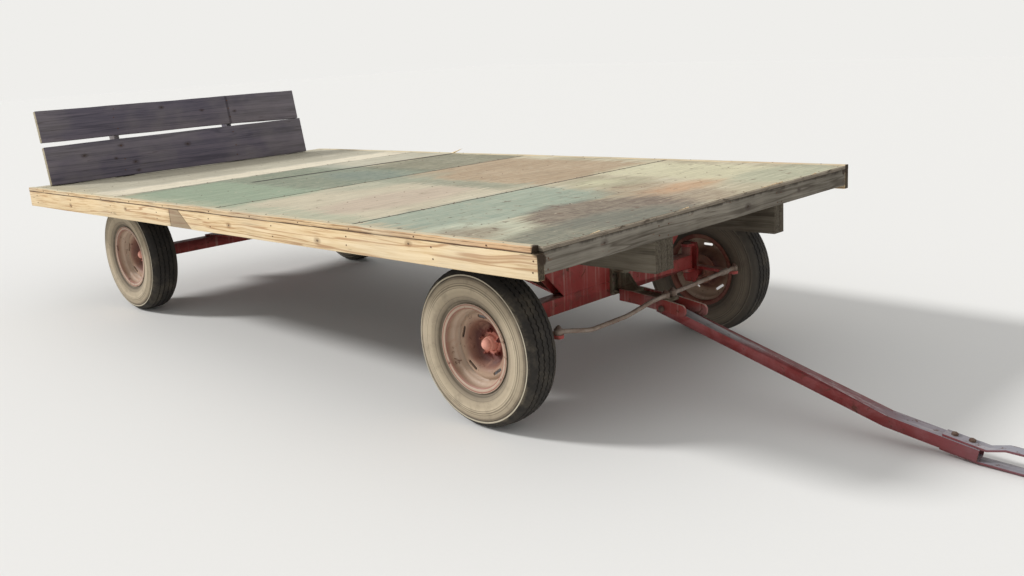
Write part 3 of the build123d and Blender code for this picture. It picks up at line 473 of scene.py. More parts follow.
# Steel
def painted_steel(name, red, faded, dust=0.55):
    """Sun-faded paint with dust on what faces up, run marks, chips and rust."""
    coat = Finish(name, specular=0.4)
    broad = coat.mottle(coat.place, 5, 5, 0.6, 0.4)
    fine = coat.mottle(coat.place, 48, 6, 0.7)
    runs = coat.grain(coat.place, (34, 34, 1.8), 4, 0.6)
    grime = coat.mottle(coat.place, 11, 6, 0.75)
    chips = coat.mottle(coat.place, 17, 7, 0.7, 0.8)
    colour = coat.over(red, faded, broad, 0.38, 0.66)
    colour = coat.over(colour, (186, 150, 138), runs, 0.52, 0.7, 0.6)
    colour = coat.over(colour, (84, 58, 48), grime, 0.5, 0.72, 0.6)
    bare = coat.step(chips, 0.6, 0.635, 0.0, 0.8)
    colour = coat.mix(bare, colour, (86, 52, 36))
    colour = coat.over(colour, (132, 118, 104), chips, 0.66, 0.69, 0.7)
    settled = coat.step(coat.up(), 0.3, 0.9, 0.0, dust)
    settled = coat.sum("MULTIPLY", settled, coat.step(fine, 0.3, 0.62, 0.55, 1.0))
    colour = coat.mix(settled, colour, (172, 156, 142))
    bump = coat.lump(coat.part(fine, 0.5, bare, -0.6), 0.4, 0.0012)
    rough = coat.step(coat.sum("ADD", broad, coat.sum("MULTIPLY", bare, 0.4)), 0.35, 0.9, 0.5, 0.88)
    return coat.done(colour, rough, bump)


def pole_steel():
    """The tongue's tube: red sides, its top worn to grey primer, pink paint and then bare steel."""
    coat = Finish("worn_tongue_paint", specular=0.4)
    broad = coat.mottle(coat.place, 6, 5, 0.65, 0.6)
    fine = coat.mottle(coat.place, 60, 6, 0.7)
    scuffs = coat.grain(coat.place, (3, 40, 40), 6, 0.7)
    chips = coat.mottle(coat.place, 20, 7, 0.72, 0.7)
    grime = coat.mottle(coat.place, 9, 6, 0.75)
    wander = coat.sum("ADD", coat.axes(coat.place)[0], coat.sum("MULTIPLY", broad, 0.35))
    top = coat.ramp(
        coat.step(wander, 1.45, 3.45),
        (0.0, (150, 147, 147)),
        (0.2, (160, 156, 156)),
        (0.32, (140, 94, 93)),
        (0.64, (130, 80, 83)),
        (0.76, (134, 122, 128)),
        (1.0, (142, 141, 148)),
    )
    top = coat.over(top, (178, 170, 170), scuffs, 0.5, 0.62, 0.4)
    sides = coat.over((130, 48, 47), (146, 78, 78), broad, 0.4, 0.62)
    sides = coat.over(sides, (96, 68, 74), wander, 2.6, 3.35, 0.8)
    colour = coat.over(sides, top, coat.up(), 0.35, 0.7)
    bare = coat.step(chips, 0.59, 0.63, 0.0, 0.8)
    colour = coat.mix(bare, colour, (92, 58, 44))
    colour = coat.over(colour, (78, 58, 50), grime, 0.52, 0.72, 0.5)
    bump = coat.lump(coat.part(fine, 0.5, bare, -0.7), 0.45, 0.0014)
    rough = coat.step(scuffs, 0.35, 0.7, 0.78, 0.45)
    return coat.done(colour, rough, bump)


def raw_metal(name, base, rust, metallic, share=0.6):
    """Bare steel or iron that has rusted and been rubbed."""
    coat = Finish(name, metallic=metallic, specular=0.5)
    patches = coat.mottle(coat.place, 14, 6, 0.7, 0.5)
    fine = coat.mottle(coat.place, 90, 5, 0.7)
    colour = coat.mix(coat.step(patches, 0.36, 0.64, 1 - share, 1.0), base, rust)
    colour = coat.over(colour, (78, 50, 36), fine, 0.58, 0.7, 0.5)
    bump = coat.lump(coat.sum("ADD", fine, patches), 0.5, 0.001)
    rough = coat.step(patches, 0.3, 0.7, 0.48, 0.82)
    return coat.done(colour, rough, bump)


# Wheel paint and rubber, ring by ring round the axle; all radii in metres
FLANGE_LINES = [0.187, 0.2035]
# The pale ring on the tyre's shoulder rib, a painted highlight
RIB_HIGHLIGHT = 0.3415
WALL_RINGS = [
    # radius, width, how dark
    (0.2235, 0.0016, 0.6),
    (0.243, 0.001, 0.4),
    (0.286, 0.0012, 0.5),
    (0.296, 0.0016, 0.6),
    (0.306, 0.0012, 0.5),
    (0.326, 0.001, 0.4),
]


def from_axle(coat, centre, side):
    """Distance from a wheel's own axle, and distance outwards along it from the wheel's middle."""
    offset = coat.vector("SUBTRACT", coat.place, centre)
    radius = coat.vector("LENGTH", coat.vector("MULTIPLY", offset, (1, 0, 1)))
    return radius, coat.sum("MULTIPLY", coat.axes(offset)[1], float(side))


def wandering(coat, radius, broad, reach):
    """A radius that strays a little, so that no ring of colour is quite true."""
    return coat.sum("ADD", radius, coat.sum("MULTIPLY", coat.sum("SUBTRACT", broad, 0.5), reach))


def wheel_paint(name, centre, side):
    """Faded wheel paint: salmon cap, red disc, cream barrel, a scraped flange."""
    coat = Finish(name, specular=0.4)
    radius, out = from_axle(coat, centre, side)
    broad = coat.mottle(coat.place, 9, 5, 0.65, 0.5)
    fine = coat.mottle(coat.place, 70, 6, 0.7)
    chips = coat.mottle(coat.place, 24, 7, 0.72, 0.6)
    dust = coat.mottle(coat.place, 6, 6, 0.7)
    face = coat.ramp(
        coat.step(wandering(coat, radius, broad, 0.03), 0.0, 0.22),
        (0.0, (230, 164, 146)),
        (0.12, (220, 146, 128)),
        (0.17, (104, 44, 37)),
        (0.38, (88, 50, 42)),
        (0.52, (134, 96, 80)),
        (0.7, (172, 146, 124)),
        (0.9, (188, 166, 146)),
        (0.97, (178, 158, 138)),
    )
    face = coat.over(face, (172, 132, 112), broad, 0.54, 0.7, 0.4)
    for middle in FLANGE_LINES:
        face = coat.over(face, (134, 62, 52), coat.off(radius, middle), 0.004, 0.0012, 0.75)
    back = coat.over((112, 54, 42), (140, 92, 76), broad, 0.4, 0.6)
    colour = coat.over(back, face, out, -0.056, -0.05)
    bare = coat.step(chips, 0.6, 0.635, 0.0, 0.85)
    colour = coat.mix(bare, colour, (92, 56, 42))
    colour = coat.over(colour, (152, 126, 106), dust, 0.45, 0.7, 0.4)
    bump = coat.lump(coat.part(fine, 0.5, bare, -0.6), 0.4, 0.0012)
    rough = coat.step(broad, 0.35, 0.7, 0.5, 0.8)
    return coat.done(colour, rough, bump)


def tyre_rubber(name, centre, side):
    """Dusty rubber: beige walls with moulded rings, a scuffed shoulder with a painted highlight on its rib,
    dark ribs over clay grooves, and painted shade on the inner wall.
    """
    coat = Finish(name, specular=0.3)
    radius, out = from_axle(coat, centre, side)
    broad = coat.mottle(coat.place, 7, 5, 0.65, 0.5)
    fine = coat.mottle(coat.place, 120, 5, 0.75)
    colour = coat.ramp(
        coat.step(wandering(coat, radius, broad, 0.01), 0.2, 0.38),
        (0.0, (110, 100, 86)),
        (0.2, (168, 154, 132)),
        (0.5, (192, 177, 152)),
        (0.72, (170, 156, 134)),
        (0.79, (156, 142, 122)),
        (0.85, (92, 84, 74)),
        (0.89, (58, 54, 49)),
        (0.93, (45, 42, 39)),
        (0.97, (48, 45, 42)),
    )
    for middle, width, deep in WALL_RINGS:
        colour = coat.over(colour, (84, 76, 64), coat.off(radius, middle), width * 2.4, width, deep)
    # Painted highlight: a pale ring along the shoulder rib
    colour = coat.over(colour, (206, 196, 174), coat.off(radius, RIB_HIGHLIGHT), 0.0045, 0.0018, 0.8)
    scuffed = coat.step(coat.mottle(coat.place, 13, 6, 0.72), 0.48, 0.7, 0.0, 0.45)
    scuffed = coat.sum("MULTIPLY", scuffed, coat.step(radius, 0.355, 0.345, 0.4, 1.0))
    colour = coat.mix(scuffed, colour, (116, 106, 92))
    dusty = coat.step(coat.mottle(coat.mapped(shift=(2, 0, 5)), 3.5, 6, 0.7), 0.5, 0.7, 0.0, 0.5)
    dusty = coat.sum("MULTIPLY", dusty, coat.step(radius, 0.36, 0.345, 0.25, 1.0))
    colour = coat.mix(dusty, colour, (176, 162, 138))
    # Painted shade, with less dust, on the tyre's inner wall
    colour = coat.over(colour, (82, 76, 68), out, -0.045, -0.075, 0.75)
    bump = coat.lump(coat.part(fine, 0.6, coat.cells(coat.place, 110), 0.5), 0.35, 0.0011)
    rough = coat.step(broad, 0.35, 0.7, 0.78, 0.94)
    return coat.done(colour, rough, bump)


# Pale, middle and dark tones of each timber, as the eye reads them; those of the front rail, the sills and
# joists, and the headboard are darkened as painted shade
RAIL_TONES = ((234, 213, 176), (219, 193, 151), (170, 126, 88))
STRIP_TONES = ((230, 208, 170), (216, 189, 148), (176, 138, 99))
# The front and rear rails' wood, greyed and darkened as painted shade
FRONT_TONES_IN_SHADE = ((130, 124, 113), (106, 100, 90), (74, 66, 57))
# The sills and joists under the deck, darkened as painted shade
SHADED = ((112, 104, 91), (91, 84, 72), (62, 54, 44))
# The headboard's weathered grey boards and posts, darkened and blued as painted shade
BOARD_TONES_IN_SHADE = ((110, 103, 114), (96, 91, 103), (79, 75, 86))

# Dark, middle and pale tones of the end grain
# The rails' and strips' end grain, darkened as painted shade
RAIL_ENDS_IN_SHADE = ((58, 50, 40), (82, 72, 58), (102, 92, 76))
BOARD_ENDS = ((140, 130, 110), (176, 166, 142), (192, 184, 162))

# Knots, and dark stains with painted shade, placed on a level deck as x, y, z and size
RIGHT_KNOTS = [
    (-1.41, -DECK_SIDE, -0.09, 0.009),
    (-0.74, -DECK_SIDE, -0.045, 0.008),
    (-2.21, -DECK_SIDE, -0.072, 0.008),
    (-3.42, -DECK_SIDE, -0.06, 0.007),
    (-4.25, -DECK_SIDE, -0.085, 0.008),
]
FRONT_KNOTS = [(0.0, -0.86, -0.05, 0.008), (0.0, 0.22, -0.07, 0.009), (0.0, 0.71, -0.06, 0.007)]
# Dark patches at the deck's corners: stains, and painted shade in the recess at the front right corner
CORNER_STAINS_AND_SHADE = [
    (0.0, -1.240, -0.008, 0.040),
    (-0.02, -1.225, 0.0, 0.034),
    (0.0, 1.238, -0.02, 0.030),
    (0.0, 1.20, -0.03, 0.020),
    (0.0, -1.227, -0.05, 0.027),
]
BOARD_KNOTS = [
    (*(DECK.inverted() @ BOARD @ Vector((0, y, up))), size)
    for y, up, size in (
        (-0.87, 0.19, 0.009),
        (-0.64, 0.145, 0.006),
        (-0.584, 0.235, 0.008),
        (-0.50, 0.10, 0.009),
        (-0.49, 0.035, 0.007),
        (-0.05, 0.19, 0.010),
        (-0.20, 0.49, 0.008),
        (0.13, 0.44, 0.007),
        (0.42, 0.41, 0.007),
    )
]

FINISHES = {
    # finish: slot, material
    "deck": ("deck_paint", deck_face()),
    "rail": ("rail_wood", timber(
        "rail_timber", "X", *RAIL_TONES, RIGHT_KNOTS, CORNER_STAINS_AND_SHADE, grey=0.15, checked=0.45,
        ends_tones=RAIL_ENDS_IN_SHADE, mark=splice_filler,
    )),
    "strip": ("rail_wood", timber(
        "strip_timber", "X", *STRIP_TONES, stains_and_shade=CORNER_STAINS_AND_SHADE, grey=0.3, ends_tones=RAIL_ENDS_IN_SHADE,
        mark=strip_wear_and_shade,
    )),
    "front": ("frame_wood", timber(
        "front_timber", "Y", *FRONT_TONES_IN_SHADE, FRONT_KNOTS, CORNER_STAINS_AND_SHADE, grey=0.2, fleck=0.6,
        knot_tone=KNOT_GREY, mark=under_the_sheet,
    )),
    "sill": ("frame_wood", timber("sill_timber", "X", *SHADED, grey=0.12)),
    "joist": ("frame_wood", timber("joist_timber", "Y", *SHADED, grey=0.12)),
    "board": ("board_wood", timber(
        "board_timber", "Y", *BOARD_TONES_IN_SHADE, BOARD_KNOTS, grey=0.12, knot_tone=KNOT_GREY,
        ends_tones=BOARD_ENDS, mark=post_mark,
    )),
    "post": ("board_wood", timber("post_timber", "Z", *BOARD_TONES_IN_SHADE, grey=0.3)),
    "red": ("gear_red", painted_steel("faded_gear_red", (146, 46, 42), (164, 76, 70))),
    "bars": ("gear_red", painted_steel("worn_bar_paint", (142, 54, 48), (138, 92, 88), 0.95)),
    "pole": ("gear_red", pole_steel()),
    "steel": ("bare_steel", raw_metal("rusted_steel", (128, 114, 104), (92, 68, 56), 0.35)),
    "rod": ("bare_steel", raw_metal("pale_rod_steel", (172, 163, 152), (130, 110, 96), 0.25, 0.45)),
    "iron": ("grey_iron", raw_metal("dull_iron", (124, 122, 104), (98, 84, 66), 0.3, 0.5)),
    "nail": ("bare_steel", raw_metal("rusted_nails", (116, 84, 66), (86, 56, 42), 0.4)),
}


# Making and fastening pieces
def made(shape, name, body, finish, smooth=35):
    """Turn a bmesh into a piece that rides on a body."""
    slot, material = FINISHES[finish]
    mesh = bpy.data.meshes.new(name)
    shape.to_mesh(mesh)
    shape.free()
    mesh.shade_smooth()
    mesh.set_sharp_from_angle(angle=radians(smooth))
    mesh.materials.append(material)
    piece = bpy.data.objects.new(name, mesh)
    bpy.context.scene.collection.objects.link(piece)
    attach(piece, body)
    return piece


def soften(shape, width):
    """Bevel every edge that turns by more than 30 degrees."""
    edges = [e for e in shape.edges if e.is_manifold and e.calc_face_angle() > radians(30)]
    bmesh.ops.bevel(
        shape, geom=edges, offset=width, offset_type="OFFSET", segments=2, profile=0.5,
        affect="EDGES", material=-1, clamp_overlap=True,
    )


def merged_copy(node):
    """A CAD node's mesh with its loose triangles joined."""
    shape = bmesh.new()
    shape.from_mesh(frame["nodes"][node].data)
    bmesh.ops.remove_doubles(shape, verts=shape.verts, dist=1e-5)
    return shape


def stub(shape, corners, foot, top, low, high):
    """An upright cone or rod from one height to another; gives its vertices."""
    verts = bmesh.ops.create_cone(
        shape, cap_ends=True, segments=corners, radius1=foot, radius2=top, depth=high - low
    )["verts"]
    bmesh.ops.translate(shape, verts=verts, vec=(0, 0, (low + high) / 2))
    return verts


def turned(shape, verts, angle, axis):
    bmesh.ops.rotate(shape, verts=verts, cent=(0, 0, 0), matrix=Matrix.Rotation(angle, 3, axis))


def set_on(shape, verts, point, facing):
    """Point what stands upright the way it faces, and bring it to its place."""
    matrix = Vector((0, 0, 1)).rotation_difference(Vector(facing)).to_matrix()
    bmesh.ops.rotate(shape, verts=verts, cent=(0, 0, 0), matrix=matrix)
    bmesh.ops.translate(shape, verts=verts, vec=point)


def spun(shape, section, steps, closed=False):
    """Spin a section, given as radius and offset along the axle, all the way round."""
    ring = [shape.verts.new((0, offset, radius)) for radius, offset in section]
    following = ring[1:] + ring[:1] if closed else ring[1:]
    edges = [shape.edges.new(pair) for pair in zip(ring, following)]
    bmesh.ops.spin(
        shape, geom=ring + edges, cent=(0, 0, 0), axis=(0, 1, 0), angle=tau, steps=steps, use_merge=True
    )


def worn_by_weather(shape, along, amount, seed):
    """Cut a timber across at intervals and let its faces wander a little."""
    low = min(v.co[along] for v in shape.verts)
    high = max(v.co[along] for v in shape.verts)
    count = max(int((high - low) / CUT_PITCH), 2)
    direction = Vector((0, 0, 0))
    direction[along] = 1
    for k in range(1, count):
        at = direction * (low + (high - low) * k / count)
        geometry = shape.verts[:] + shape.edges[:] + shape.faces[:]
        bmesh.ops.bisect_plane(shape, geom=geometry, dist=1e-6, plane_co=at, plane_no=direction)
    for vert in shape.verts:
        drift = noise.noise_vector(vert.co * 2.3 + Vector((seed, 0, 0)))
        drift += 0.5 * noise.noise_vector(vert.co * 11 + Vector((0, seed, 0)))
        drift[along] *= 0.3
        vert.co += drift * amount


def broken_off(shape):
    """The right strip's front end is broken off raggedly."""
    for vert in shape.verts:
        if vert.co.x > FRONT_X - 0.02:
            vert.co.x -= 0.024 + 0.014 * noise.noise(vert.co * 40)


def bowed_down(shape):
    """The upper plank's lower edge all but meets the lower plank towards its left end."""
    for vert in shape.verts:
        place = BOARD.inverted() @ vert.co
        if place.z < 0.4:
            share = min(max((place.y - BOW_START) / BOW_LENGTH, 0), 1)
            place.z -= BOW_DEPTH * share * share * (3 - 2 * share)
            vert.co = BOARD @ place


# Between two cuts across a timber, and the upper plank's bow, in metres
CUT_PITCH = 0.13
BOW_START = 0.25
BOW_LENGTH = 0.6
BOW_DEPTH = 0.012
# Done to a node's copy, besides its wear
DAMAGE = {"edge_strip_right": broken_off, "headboard_plank_upper": bowed_down}


def dressed(node, finish, bevel=0.0, along=None, amount=0.0, seed=1.0):
    """A softened copy of a CAD node that stands for it."""
    shape = merged_copy(node)
    if bevel or amount:
        bmesh.ops.dissolve_limit(
            shape, angle_limit=radians(0.5), verts=shape.verts, edges=shape.edges, delimit=set()
        )
    if bevel:
        soften(shape, bevel)
    if amount:
        worn_by_weather(shape, along, amount, seed)
    if node in DAMAGE:
        DAMAGE[node](shape)
    body = frame["nodes"][node]["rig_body"]
    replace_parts(made(shape, f"{node}_dressed", body, finish), node)


DRESSING = [
    # node, finish, bevel, axis_along, amount
    ("front_rail", "front", 0.003, 1, 0.0012),
    ("rear_rail", "front", 0.003, 1, 0.0012),
    ("side_rail_right_front", "rail", 0.003, 0, 0.0012),
    ("side_rail_right_rear", "rail", 0.003, 0, 0.0012),
    ("side_rail_left", "rail", 0.003, 0, 0.0012),
    ("edge_strip_right", "strip", 0.0, 0, 0.0018),
    ("edge_strip_left", "strip", 0.0, 0, 0.0018),
    ("sill_right", "sill", 0.003, 0, 0.0015),
    ("sill_left", "sill", 0.003, 0, 0.0015),
    ("headboard_plank_lower", "board", 0.004, 1, 0.003),
    ("headboard_plank_upper", "board", 0.004, 1, 0.003),
    ("headboard_posts", "post", 0.003, 2, 0.0015),
]
for number, (node, finish, bevel, along, amount) in enumerate(DRESSING):
    dressed(node, finish, bevel, along=along, amount=amount, seed=3.7 * number + 1)

for node, finish in (("deck_sheets", "deck"), ("cross_joists", "joist")):
    cad = frame["nodes"][node]
    cad.data.materials.clear()
    cad.data.materials.append(FINISHES[finish][1])

METALWORK = [
    # node, finish, bevel
    ("headboard_brackets", "steel", 0.0012),
    ("front_bolster", "red", 0.002),
    ("rear_bolster", "red", 0.002),
    ("reach_pole", "red", 0.0),
    ("reach_clevis", "red", 0.0015),
    ("front_hounds", "red", 0.0015),
    ("rear_hounds", "red", 0.0015),
    ("front_axle", "red", 0.0),
    ("rear_axle", "red", 0.0),
    ("kingpins", "steel", 0.0),
    ("pivot_bracket", "iron", 0.0),
    ("pivot_pin", "steel", 0.0),
    ("tongue_swivel", "iron", 0.0),
    ("swivel_bars", "bars", 0.0015),
    ("hinge_pin", "steel", 0.0),
    ("tongue_pole", "pole", 0.0),
    ("hitch_straps", "pole", 0.0015),
    ("knuckle_right", "red", 0.0),
    ("knuckle_left", "red", 0.0),
    ("tie_rod_right", "rod", 0.0),
    ("tie_rod_left", "rod", 0.0),
]
for node, finish, bevel in METALWORK:
    dressed(node, finish, bevel)


# Wheels
def arc_through(first, second, third, count):
    """Points on the circle through three points, the ends included."""
    ax, ay = first
    bx, by = second
    cx, cy = third
    bottom = 2 * (ax * (by - cy) + bx * (cy - ay) + cx * (ay - by))
    a2, b2, c2 = ax * ax + ay * ay, bx * bx + by * by, cx * cx + cy * cy
    ux = (a2 * (by - cy) + b2 * (cy - ay) + c2 * (ay - by)) / bottom
    uy = (a2 * (cx - bx) + b2 * (ax - cx) + c2 * (bx - ax)) / bottom
    radius = hypot(ax - ux, ay - uy)
    start = atan2(ay - uy, ax - ux)
    end = atan2(cy - uy, cx - ux)
    angles = [start + (end - start) * k / count for k in range(count + 1)]
    return [(ux + radius * cos(angle), uy + radius * sin(angle)) for angle in angles]


# Which points of the wall's arc the moulded rings raise, and by how many metres
RAISED = (3, 4, 9, 13, 14, 20)
RING_HEIGHT = 0.0016
# Each groove's offset from the middle and the radius of the rib beside it
GROOVES = [(0.046, 0.3715), (0.016, 0.3748)]
GROOVE_DEPTH = 0.009
# Steps round a tyre, and how far each one's grooves stray to either side
TYRE_STEPS = 156
ZIGZAG = 0.0034


def tyre_profile():
    """Half a tyre's section from its bead over the wall to the middle rib, as radius and offset."""
    wall = arc_through((0.213, 0.073), (0.276, 0.100), (0.338, 0.088), 22)
    points = [(0.190, 0.069), (0.2005, 0.0715)]
    for number, (radius, offset) in enumerate(wall):
        points.append((radius, offset + (RING_HEIGHT if number in RAISED else 0.0)))
    points += [(0.3395, 0.0905), (0.345, 0.0905), (0.347, 0.0865), (0.357, 0.080), (0.3655, 0.070)]
    for groove, rib_radius in GROOVES:
        points += [
            (rib_radius, groove + 0.0035),
            (rib_radius - GROOVE_DEPTH, groove + 0.0022),
            (rib_radius - GROOVE_DEPTH, groove - 0.0022),
            (rib_radius + 0.0008, groove - 0.0035),
        ]
    return points


def mirrored(points):
    return [(radius, -offset) for radius, offset in reversed(points)]


def tyre(wheel, centre, finish):
    """A ribbed tyre with zigzag grooves, spun from its section."""
    half = tyre_profile()
    outside = half + [(TYRE_RADIUS, 0.0)] + mirrored(half)
    inside = [(0.1888, -0.055), (0.226, -0.082), (0.300, -0.088), (0.348, -0.058)]
    inside += [(0.352, 0.0)] + mirrored(inside)
    shape = bmesh.new()
    spun(shape, outside + inside, TYRE_STEPS, closed=True)
    for vert in shape.verts:
        radius = hypot(vert.co.x, vert.co.z)
        if radius > 0.361 and abs(vert.co.y) < 0.06:
            step = round(atan2(vert.co.x, vert.co.z) / tau * TYRE_STEPS)
            vert.co.y += ZIGZAG if step % 2 else -ZIGZAG
    bmesh.ops.recalc_face_normals(shape, faces=shape.faces)
    bmesh.ops.translate(shape, verts=shape.verts, vec=centre)
    piece = made(shape, f"tyre_{wheel}_tread", f"wheel_{wheel}", finish, 40)
    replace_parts(piece, f"tyre_{wheel}")


# Wheel nuts: their seat's offset, their circle, and each one's cones from the seat outwards
NUT_SEAT = 0.0405
NUT_CIRCLE = 0.057
NUT_CONES = [
    # corners, radius at the foot, radius at the top, low, high
    (6, 0.0125, 0.0125, 0.0, 0.013),
    (6, 0.0105, 0.0075, 0.013, 0.018),
    (12, 0.0058, 0.0052, 0.018, 0.026),
]
# The grease cap from its dome down to the hub, as radius and offset
CAP = [
    (0.0, 0.016), (0.012, 0.0145), (0.021, 0.009), (0.0265, 0.001), (0.0285, -0.008),
    (0.0285, -0.022), (0.033, -0.0235), (0.034, -0.026), (0.033, -0.0285), (0.0, -0.0285),
]


def lug_nuts(wheel, centre, side, finish):
    """Five wheel nuts on their studs, and a domed grease cap in the middle."""
    shape = bmesh.new()
    for k in range(5):
        angle = tau * (k + 0.3) / 5
        for corners, foot, top, low, high in NUT_CONES:
            part = stub(shape, corners, foot, top, low - NUT_SEAT, high - NUT_SEAT)
            turned(shape, part, -side * radians(90), "X")
            bmesh.ops.translate(shape, verts=part, vec=(NUT_CIRCLE * cos(angle), 0, NUT_CIRCLE * sin(angle)))
    spun(shape, [(radius, side * offset) for radius, offset in CAP], 32)
    bmesh.ops.remove_doubles(shape, verts=shape.verts, dist=1e-5)
    bmesh.ops.recalc_face_normals(shape, faces=shape.faces)
    bmesh.ops.translate(shape, verts=shape.verts, vec=centre)
    made(shape, f"{wheel}_nuts_and_cap", f"wheel_{wheel}", finish)


def valve(wheel, centre, side):
    """A short rubber valve stem leaning out of the rim."""
    shape = bmesh.new()
    stub(shape, 14, 0.0065, 0.0045, 0, 0.018)
    stub(shape, 14, 0.0042, 0.0042, 0.018, 0.034)
    turned(shape, shape.verts, -side * radians(62), "X")
    bmesh.ops.translate(shape, verts=shape.verts, vec=(0, side * 0.030, 0.1665))
    turned(shape, shape.verts, radians(130), "Y")
    bmesh.ops.translate(shape, verts=shape.verts, vec=centre)
    made(shape, f"{wheel}_valve", f"wheel_{wheel}", "iron")


for wheel, (axle_x, side) in WHEELS.items():
    centre = Vector((axle_x, side * WHEEL_Y, WHEEL_Z))
    paint = f"paint_{wheel}"
    rubber = f"rubber_{wheel}"
    FINISHES[paint] = ("wheel_red", wheel_paint(f"wheel_paint_{wheel}", centre, side))
    FINISHES[rubber] = ("tyre", tyre_rubber(f"tyre_{wheel}_rubber", centre, side))
    tyre(wheel, centre, rubber)
    dressed(f"rim_{wheel}", paint)
    dressed(f"hub_{wheel}", paint)
    lug_nuts(wheel, centre, side, paint)
    valve(wheel, centre, side)


# Fastenings: how far a nail's head stands out and reaches in, and how clear of a wandering face
HEAD_RISE = 0.0014
HEAD_SINK = 0.001
PROUD = 0.0006


def nail_heads(name, places, radius=0.0048):
    """Low round heads; each place is a point and the way it faces."""
    shape = bmesh.new()
    for point, facing in places:
        set_on(shape, stub(shape, 8, radius, radius * 0.72, -HEAD_SINK, HEAD_RISE), point, facing)
    made(shape, name, "wagon", "nail")


chance = random.Random(12)


def near(value, spread):
    return value + chance.uniform(-spread, spread)


def on_deck(x, y, z):
    return DECK @ Vector((x, y, z))


ahead = DECK.to_3x3() @ Vector((1, 0, 0))
deck_up = DECK.to_3x3() @ Vector((0, 0, 1))
board_out = BOARD.to_3x3() @ Vector((1, 0, 0))

places = []
for distance in JOISTS + [0.019]:
    rows = (distance,) if distance not in SEAMS else (distance - 0.012, distance + 0.012)
    for row in rows:
        for k in range(13):
            y = near(-1.17 + k * 0.195, 0.02)
            places.append((on_deck(-near(row, 0.004), y, 0), deck_up))
for side in (-1, 1):
    for k in range(17):
        places.append((on_deck(-near(0.15 + k * 0.29, 0.04), side * near(1.238, 0.006), 0.003), deck_up))
nail_heads("deck_nails", places)

places = []
for side in (-1, 1):
    face = side * (DECK_SIDE + PROUD)
    for distance in JOISTS + [0.022]:
        for below in (0.05, 0.095):
            places.append((on_deck(-near(distance, 0.006), face, -near(below, 0.006)), (0, side, 0)))
    for k in range(11):
        places.append((on_deck(-near(0.25 + k * 0.44, 0.05), face, -0.012), (0, side, 0)))
for y in (-1.2, -0.5, -0.43, 0.49, 0.53, 1.2):
    for below in (0.045, 0.09):
        places.append((on_deck(PROUD, near(y, 0.008), -near(below, 0.005)), ahead))
nail_heads("rail_nails", places, radius=0.0038)

places = []
for y in POSTS:
    for up in (0.06, 0.14, 0.24, 0.36, 0.44, 0.5):
        places.append((BOARD @ Vector((PROUD, near(y, 0.009), near(up, 0.01))), board_out))
nail_heads("headboard_nails", places, radius=0.0055)


def hex_bolts(name, body, places, across, high, stem=0.0):
    """Hexagon heads or nuts, some with a short thread end, let in by half a millimetre."""
    shape = bmesh.new()
    sunk = 0.0005
    for point, facing in places:
        parts = stub(shape, 6, across, across, -sunk, high - sunk)
        parts += stub(shape, 6, across * 0.98, across * 0.7, high * 0.995 - sunk, high * 1.245 - sunk)
        if stem:
            start = high * 1.2 - 2 * sunk
            parts += stub(shape, 12, across * 0.5, across * 0.44, start, start + stem)
        set_on(shape, parts, point, facing)
    made(shape, name, body, "steel", 25)


def model(x, y, z):
    """A place given in the source's own millimetres from the deck's front edge."""
    return Vector((FRONT_X + x / 1000, y / 1000, z / 1000))


# Bolts through the stakes, the bolsters, the clevis and the bracket
STAKE_BOLTS = [
    # axle_x, heights
    (-667, (725, 760)),
    (-4078, (628, 662)),
]
STAKE_FACES = [(-1, 536), (1, 564)]
places = []
for axle_x, heights in STAKE_BOLTS:
    for side, outer in STAKE_FACES:
        for z in heights:
            places.append((model(axle_x, side * outer, z), (0, side, 0)))
hex_bolts("stake_bolts", "wagon", places, across=0.011, high=0.008)

places = [(model(-615, side * 37, z), (1, 0, 0)) for side in (-1, 1) for z in (490, 525)]
hex_bolts("bracket_bolts", "wagon", places, across=0.009, high=0.006)

places = [(model(-755, side * 45, 449), (0, side, 0)) for side in (-1, 1)]
hex_bolts("clevis_bolt", "wagon", places, across=0.014, high=0.010, stem=0.006)

# Nuts on top of the tie rods' pins
for name, side in (("right", -1), ("left", 1)):
    places = [
        (model(-297, side * 30, 482.2), (0, 0, 1)),
        (model(-382, side * 725, 457.2), (0, 0, 1)),
    ]
    hex_bolts(f"tie_rod_nuts_{name}", f"tie_rod_{name}", places, across=0.013, high=0.010, stem=0.005)

# Bolts that hold the hitch straps to the pole beyond its kink, heads up
HINGE = model(-334, 0, 433)
TO_KINK = 1.2
DROP = radians(15)
slope = Matrix.Rotation(radians(8.1), 3, "Y")
kink = HINGE + Vector((TO_KINK * cos(DROP), 0, -TO_KINK * sin(DROP)))
places = [(kink + slope @ Vector((along, 0, 0.010)), slope @ Vector((0, 0, 1))) for along in (0.27, 0.34)]
hex_bolts("hitch_bolts", "tongue", places, across=0.014, high=0.010)

# Bracket screws at the headboard posts' feet
places = []
for y in POSTS:
    for side in (-1, 1):
        for back in (0.105, 0.07):
            places.append((on_deck(-HEADBOARD - back, y + side * 0.045, 0.006), deck_up))
        for up in (0.045, 0.09):
            places.append((on_deck(-HEADBOARD - 0.098, y + side * 0.025, up), (0, side, 0)))
hex_bolts("bracket_screws", "wagon", places, across=0.007, high=0.005)


# Splinters lifted from the front edge of the first sheet, and a big one on the left strip
SPLINTERS = [
    # y, length, lift
    (0.43, 0.11, 0.006),
    (0.50, 0.08, 0.004),
    (0.36, 0.05, 0.003),
    (-0.31, 0.07, 0.003),
    (-0.92, 0.06, 0.004),
    (0.86, 0.05, 0.003),
]


